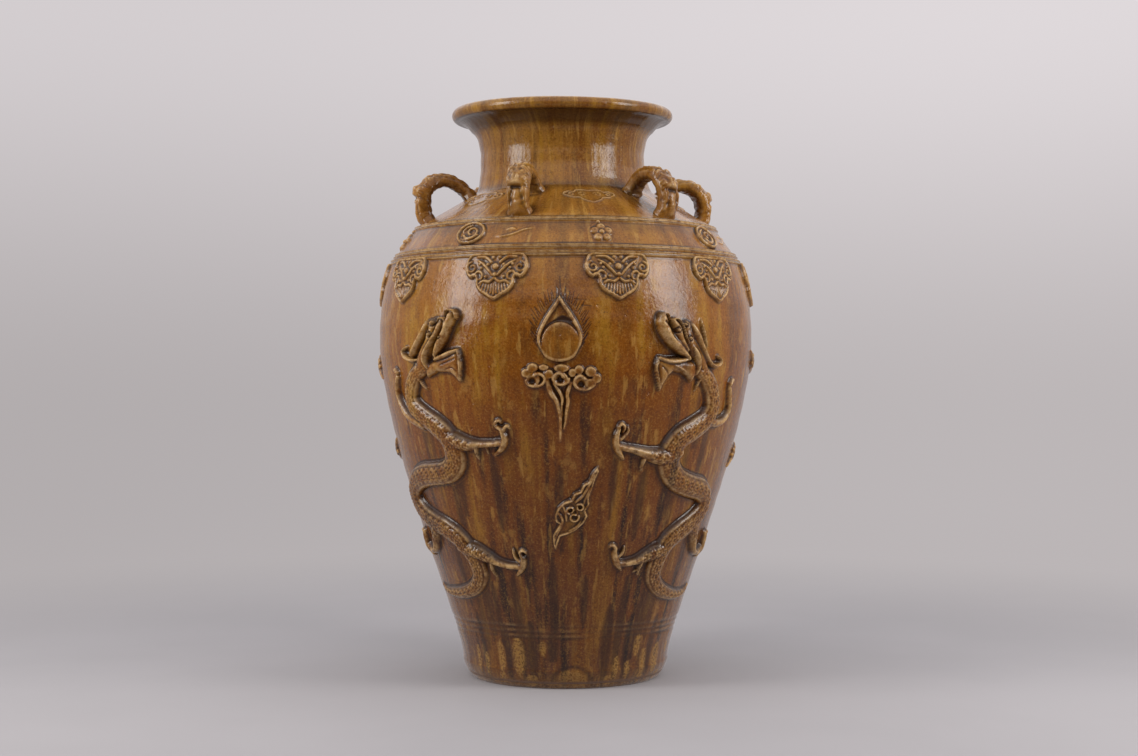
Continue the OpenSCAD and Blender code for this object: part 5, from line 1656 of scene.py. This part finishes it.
class MARTABAN_OT_stage(bpy.types.Operator):
    """Sets up the floor, the soft lights and the camera"""

    bl_idname = "martaban.stage"
    bl_label = "Stage and light"

    def execute(self, context):
        tree = tree_of("Thrown section", throwing_tree)
        obj = throw("Studio floor", stage_section() / MM, tree, PAPER_SEGMENTS, studio_material())
        for name, side in (("Left softbox", -1), ("Right softbox", 1)):
            light = bpy.data.lights.new(name, "AREA")
            light.shape = "RECTANGLE"
            light.size, light.size_y = BOX_SIZE
            light.energy, light.color = BOX_WATTS, BOX_COLOUR
            box = bpy.data.objects.new(name, light)
            away = Vector((side * BOX_WAY[0], *BOX_WAY[1:])).normalized() * BOX_AWAY
            box.location = Vector(BOX_AIM) + away
            box.rotation_euler = (-away).to_track_quat("-Z", "Y").to_euler()
            box.visible_camera = False
            context.scene.collection.objects.link(box)
        world = bpy.data.worlds.new("Studio")
        world.use_nodes = True
        sky = world.node_tree.nodes["Background"]
        sky.inputs["Color"].default_value = SKY
        sky.inputs["Strength"].default_value = SKY_LIGHT
        context.scene.world = world
        lens = bpy.data.cameras.new("Camera")
        lens.sensor_width = SENSOR_MM
        lens.lens = FOCAL_PX * SENSOR_MM / PHOTO_W
        camera = bpy.data.objects.new("Camera", lens)
        camera.location = ((PHOTO_W / 2 - AXIS_X_PX) * MM_PER_PX * MM, -FOCAL_PX * MM_PER_PX * MM, EYE_Z * MM)
        camera.rotation_euler = (math.pi / 2, 0, 0)
        context.scene.collection.objects.link(camera)
        context.scene.camera = camera
        context.scene.view_settings.view_transform = "Standard"
        return {"FINISHED"}


class MARTABAN_OT_wall(bpy.types.Operator):
    """Throws the foot, the body, the shoulder, the neck and the lip on the wheel"""

    bl_idname = "martaban.wall"
    bl_label = "Thrown wall"

    def execute(self, context):
        wall, jar, _ = kit()
        tree = tree_of("Thrown section", throwing_tree)
        pieces = (("Foot", "base_disc", foot_section(wall, jar), "dark_glaze"),
                  ("Lower wall", "lower_wall", wall_section(wall, jar, FOOT_H, LOWER_Z), "dark_glaze"),
                  ("Middle wall", "middle_wall", wall_section(wall, jar, LOWER_Z, BELLY_Z), "amber_glaze"),
                  ("Upper wall", "upper_wall", wall_section(wall, jar, BELLY_Z, COLLAR_Z), "amber_glaze"),
                  ("Collar", "collar_band", wall_section(wall, jar, COLLAR_Z, SHOULDER_Z), "amber_glaze"),
                  ("Shoulder", "shoulder", wall_section(wall, jar, SHOULDER_Z, NECK_Z), "amber_glaze"),
                  ("Neck", "neck", wall_section(wall, jar, NECK_Z, LIP_Z), "amber_glaze"),
                  ("Lip", "lip", lip_section(jar), "pale_glaze"))
        for name, node, section, slot in pieces:
            obj = throw(name.replace(" ", "_"), section, tree, jar.segments, finish_of(slot))
            glaze_on_wall(wall, jar, obj.data)
            hand_over(obj, wall, [node], warped=True)
        return {"FINISHED"}


def string_section(wall, z, proud=2.6, half=2.6, melt=2.4):
    """Closed section of a ring of clay with two ridges, melted into the wall at a height."""
    s = np.linspace(-half - melt - 1.5, half + melt + 1.5, 40)
    away = np.abs(s)
    lift = proud * (bell(s, 1.7, 1) + 0.85 * bell(s, -1.8, 1))
    lift = np.maximum(lift, 1.3 * np.clip(1 - away / (half + melt), 0, 1) ** 2)
    lift = np.convolve(np.pad(lift, 1, mode="edge"), (0.25, 0.5, 0.25), "valid")
    lift += -SKIRT_SINK + (SKIRT_SINK + SKIRT_LIFT) * smoothstep((half + melt + 1 - away) / 0.8)
    at = wall.s_at(z) + s
    r, nr = np.interp(at, wall.s, wall.r), np.interp(at, wall.s, wall.nr)
    up, nz = np.interp(at, wall.s, wall.z), np.interp(at, wall.s, wall.nz)
    front = np.stack([r + lift * nr, up + lift * nz], 1)
    back = np.stack([r - BACK_DEPTH * nr, up - BACK_DEPTH * nz], 1)[::-4]
    return np.vstack([front, back, front[:1]])


class MARTABAN_OT_string_rings(bpy.types.Operator):
    """Lays the three string rings round the collar"""

    bl_idname = "martaban.string_rings"
    bl_label = "String rings"

    def execute(self, context):
        wall, jar, _ = kit()
        tree = tree_of("Thrown section", throwing_tree)
        for node, z in RINGS.items():
            obj = throw(node, string_section(wall, z), tree, jar.segments, finish_of("relief_glaze"))
            co = points_of(obj.data)
            off = np.hypot(co[:, 0], co[:, 1]) - np.interp(co[:, 2], wall.z, wall.r)
            away = np.abs(co[:, 2] - z)
            pool = np.where(co[:, 2] > z, 1.0, 0.7) * bell(away, 4, 1.2) + 0.9 * bell(away, 0, 0.8)
            set_values(obj.data, edge=smoothstep((off - 0.9) / 0.9), raised=smoothstep(off / 1.4),
                       pool=np.clip(pool, 0, 1))
            a = np.arctan2(co[:, 0], -co[:, 1])
            co[:, 2] += 0.35 * np.sin(3 * a + z) + 0.15 * np.sin(11 * a)
            move_points(obj.data, co)
            hand_over(obj, wall, [node], warped=True)
        return {"FINISHED"}


class MARTABAN_OT_mask_lugs(bpy.types.Operator):
    """Sets six strap lugs with lion masks on the shoulder"""

    bl_idname = "martaban.mask_lugs"
    bl_label = "Mask lugs"

    def execute(self, context):
        wall, jar, relief = kit()
        mesh = mask_lug_mesh(jar, relief)
        face_out(mesh)
        ring_of("Mask_lugs", mesh, "mask_lug", LUGS, LUG_TURN, wall, "relief_glaze")
        return {"FINISHED"}


class MARTABAN_OT_shoulder_clouds(bpy.types.Operator):
    """Draws six clouds in thin clay between the lugs"""

    bl_idname = "martaban.shoulder_clouds"
    bl_label = "Shoulder clouds"

    def execute(self, context):
        wall, _, sizes = kit()
        relief = shoulder_cloud_relief(wall, sizes.fine_grain)
        mesh = relief.mesh("Shoulder cloud", sizes.melt, sizes.skirt, warped=False)
        ring_of("Shoulder_clouds", mesh, "shoulder_cloud", CLOUDS, CLOUD_TURN, wall, "pale_glaze")
        return {"FINISHED"}


class MARTABAN_OT_collar_reliefs(bpy.types.Operator):
    """Sets roundels and rosettes by turns round the collar"""

    bl_idname = "martaban.collar_reliefs"
    bl_label = "Roundels and rosettes"

    def execute(self, context):
        wall, _, sizes = kit()
        for name, maker, count, turn in (("Roundel", roundel_relief, ROUNDELS, ROUNDEL_TURN),
                                         ("Rosette", rosette_relief, ROSETTES, ROSETTE_TURN)):
            mesh = maker(wall, sizes.fine_grain).mesh(name, sizes.melt, sizes.skirt, warped=False)
            ring_of(name + "s", mesh, name.lower(), count, turn, wall, "relief_glaze")
        return {"FINISHED"}


class MARTABAN_OT_lappets(bpy.types.Operator):
    """Hangs ten lappets with curls and beads under the collar"""

    bl_idname = "martaban.lappets"
    bl_label = "Lappets"

    def execute(self, context):
        wall, _, sizes = kit()
        relief = lappet_relief(wall, sizes.fine_grain * 1.2)
        mesh = relief.mesh("Lappet", sizes.melt * 0.8, sizes.skirt, warped=False)
        ring_of("Lappets", mesh, "lappet", LAPPETS, LAPPET_TURN, wall, "pale_glaze")
        return {"FINISHED"}


class MARTABAN_OT_dragons(bpy.types.Operator):
    """Lays two pairs of dragons on the front and the back of the belly"""

    bl_idname = "martaban.dragons"
    bl_label = "Dragons"

    def execute(self, context):
        wall, _, sizes = kit()
        for side in ("right", "left"):
            relief = dragon_relief(wall, side, sizes.grain)
            for place, turn in SIDES:
                laid_on(f"{place}_{side}_dragon", relief, turn, "relief_glaze")
        return {"FINISHED"}


class MARTABAN_OT_pearls(bpy.types.Operator):
    """Sets a flaming pearl between the dragons of each pair"""

    bl_idname = "martaban.pearls"
    bl_label = "Pearls"

    def execute(self, context):
        wall, _, sizes = kit()
        relief = pearl_relief(wall, sizes.fine_grain)
        for place, turn in SIDES:
            laid_on(f"{place}_pearl", relief, turn, "relief_glaze")
        return {"FINISHED"}


class MARTABAN_OT_clouds(bpy.types.Operator):
    """Lays the clouds under the pearls, between the tails and on the bare sides"""

    bl_idname = "martaban.clouds"
    bl_label = "Clouds"

    def execute(self, context):
        wall, _, sizes = kit()
        for stem, maker in (("pearl_cloud", pearl_cloud_relief), ("leaf_cloud", leaf_cloud_relief)):
            relief = maker(wall, sizes.fine_grain)
            for place, turn in SIDES:
                laid_on(f"{place}_{stem}", relief, turn, "pale_glaze")
        for low in (False, True):
            relief = side_cloud_relief(wall, 90 + PAIR_TURN, low, sizes.fine_grain)
            for k, turn in ((1 + low, 0), (3 + low, 180)):
                laid_on(f"side_cloud_{k}", relief, turn, "pale_glaze")
        return {"FINISHED"}


STEPS = (MARTABAN_OT_stage, MARTABAN_OT_wall, MARTABAN_OT_string_rings, MARTABAN_OT_mask_lugs,
         MARTABAN_OT_shoulder_clouds, MARTABAN_OT_collar_reliefs, MARTABAN_OT_lappets, MARTABAN_OT_dragons,
         MARTABAN_OT_pearls, MARTABAN_OT_clouds)


class MARTABAN_PT_panel(bpy.types.Panel):
    """Lists the steps and the sizes of the jar"""

    bl_idname = "MARTABAN_PT_panel"
    bl_label = "Martaban jar"
    bl_space_type = "VIEW_3D"
    bl_region_type = "UI"
    bl_category = "Martaban jar"

    def draw(self, context):
        column = self.layout.column()
        for step in STEPS:
            column.operator(step.bl_idname)
        for name, group in GROUPS:
            box = self.layout.box()
            for key in group.__annotations__:
                box.prop(getattr(context.scene, name), key)


GROUPS = (("martaban_jar", JarSizes), ("martaban_relief", ReliefSizes), ("martaban_glaze", GlazeColours))


def register():
    for key, group in GROUPS:
        bpy.utils.register_class(group)
        setattr(bpy.types.Scene, key, PointerProperty(type=group))
    for item in (*STEPS, MARTABAN_PT_panel):
        bpy.utils.register_class(item)


def unregister():
    for item in (MARTABAN_PT_panel, *reversed(STEPS)):
        bpy.utils.unregister_class(item)
    for key, group in reversed(GROUPS):
        delattr(bpy.types.Scene, key)
        bpy.utils.unregister_class(group)


def main():
    register()
    for step in STEPS:
        getattr(bpy.ops.martaban, step.bl_idname.split(".")[1])()


if __name__ == "__main__":
    main()
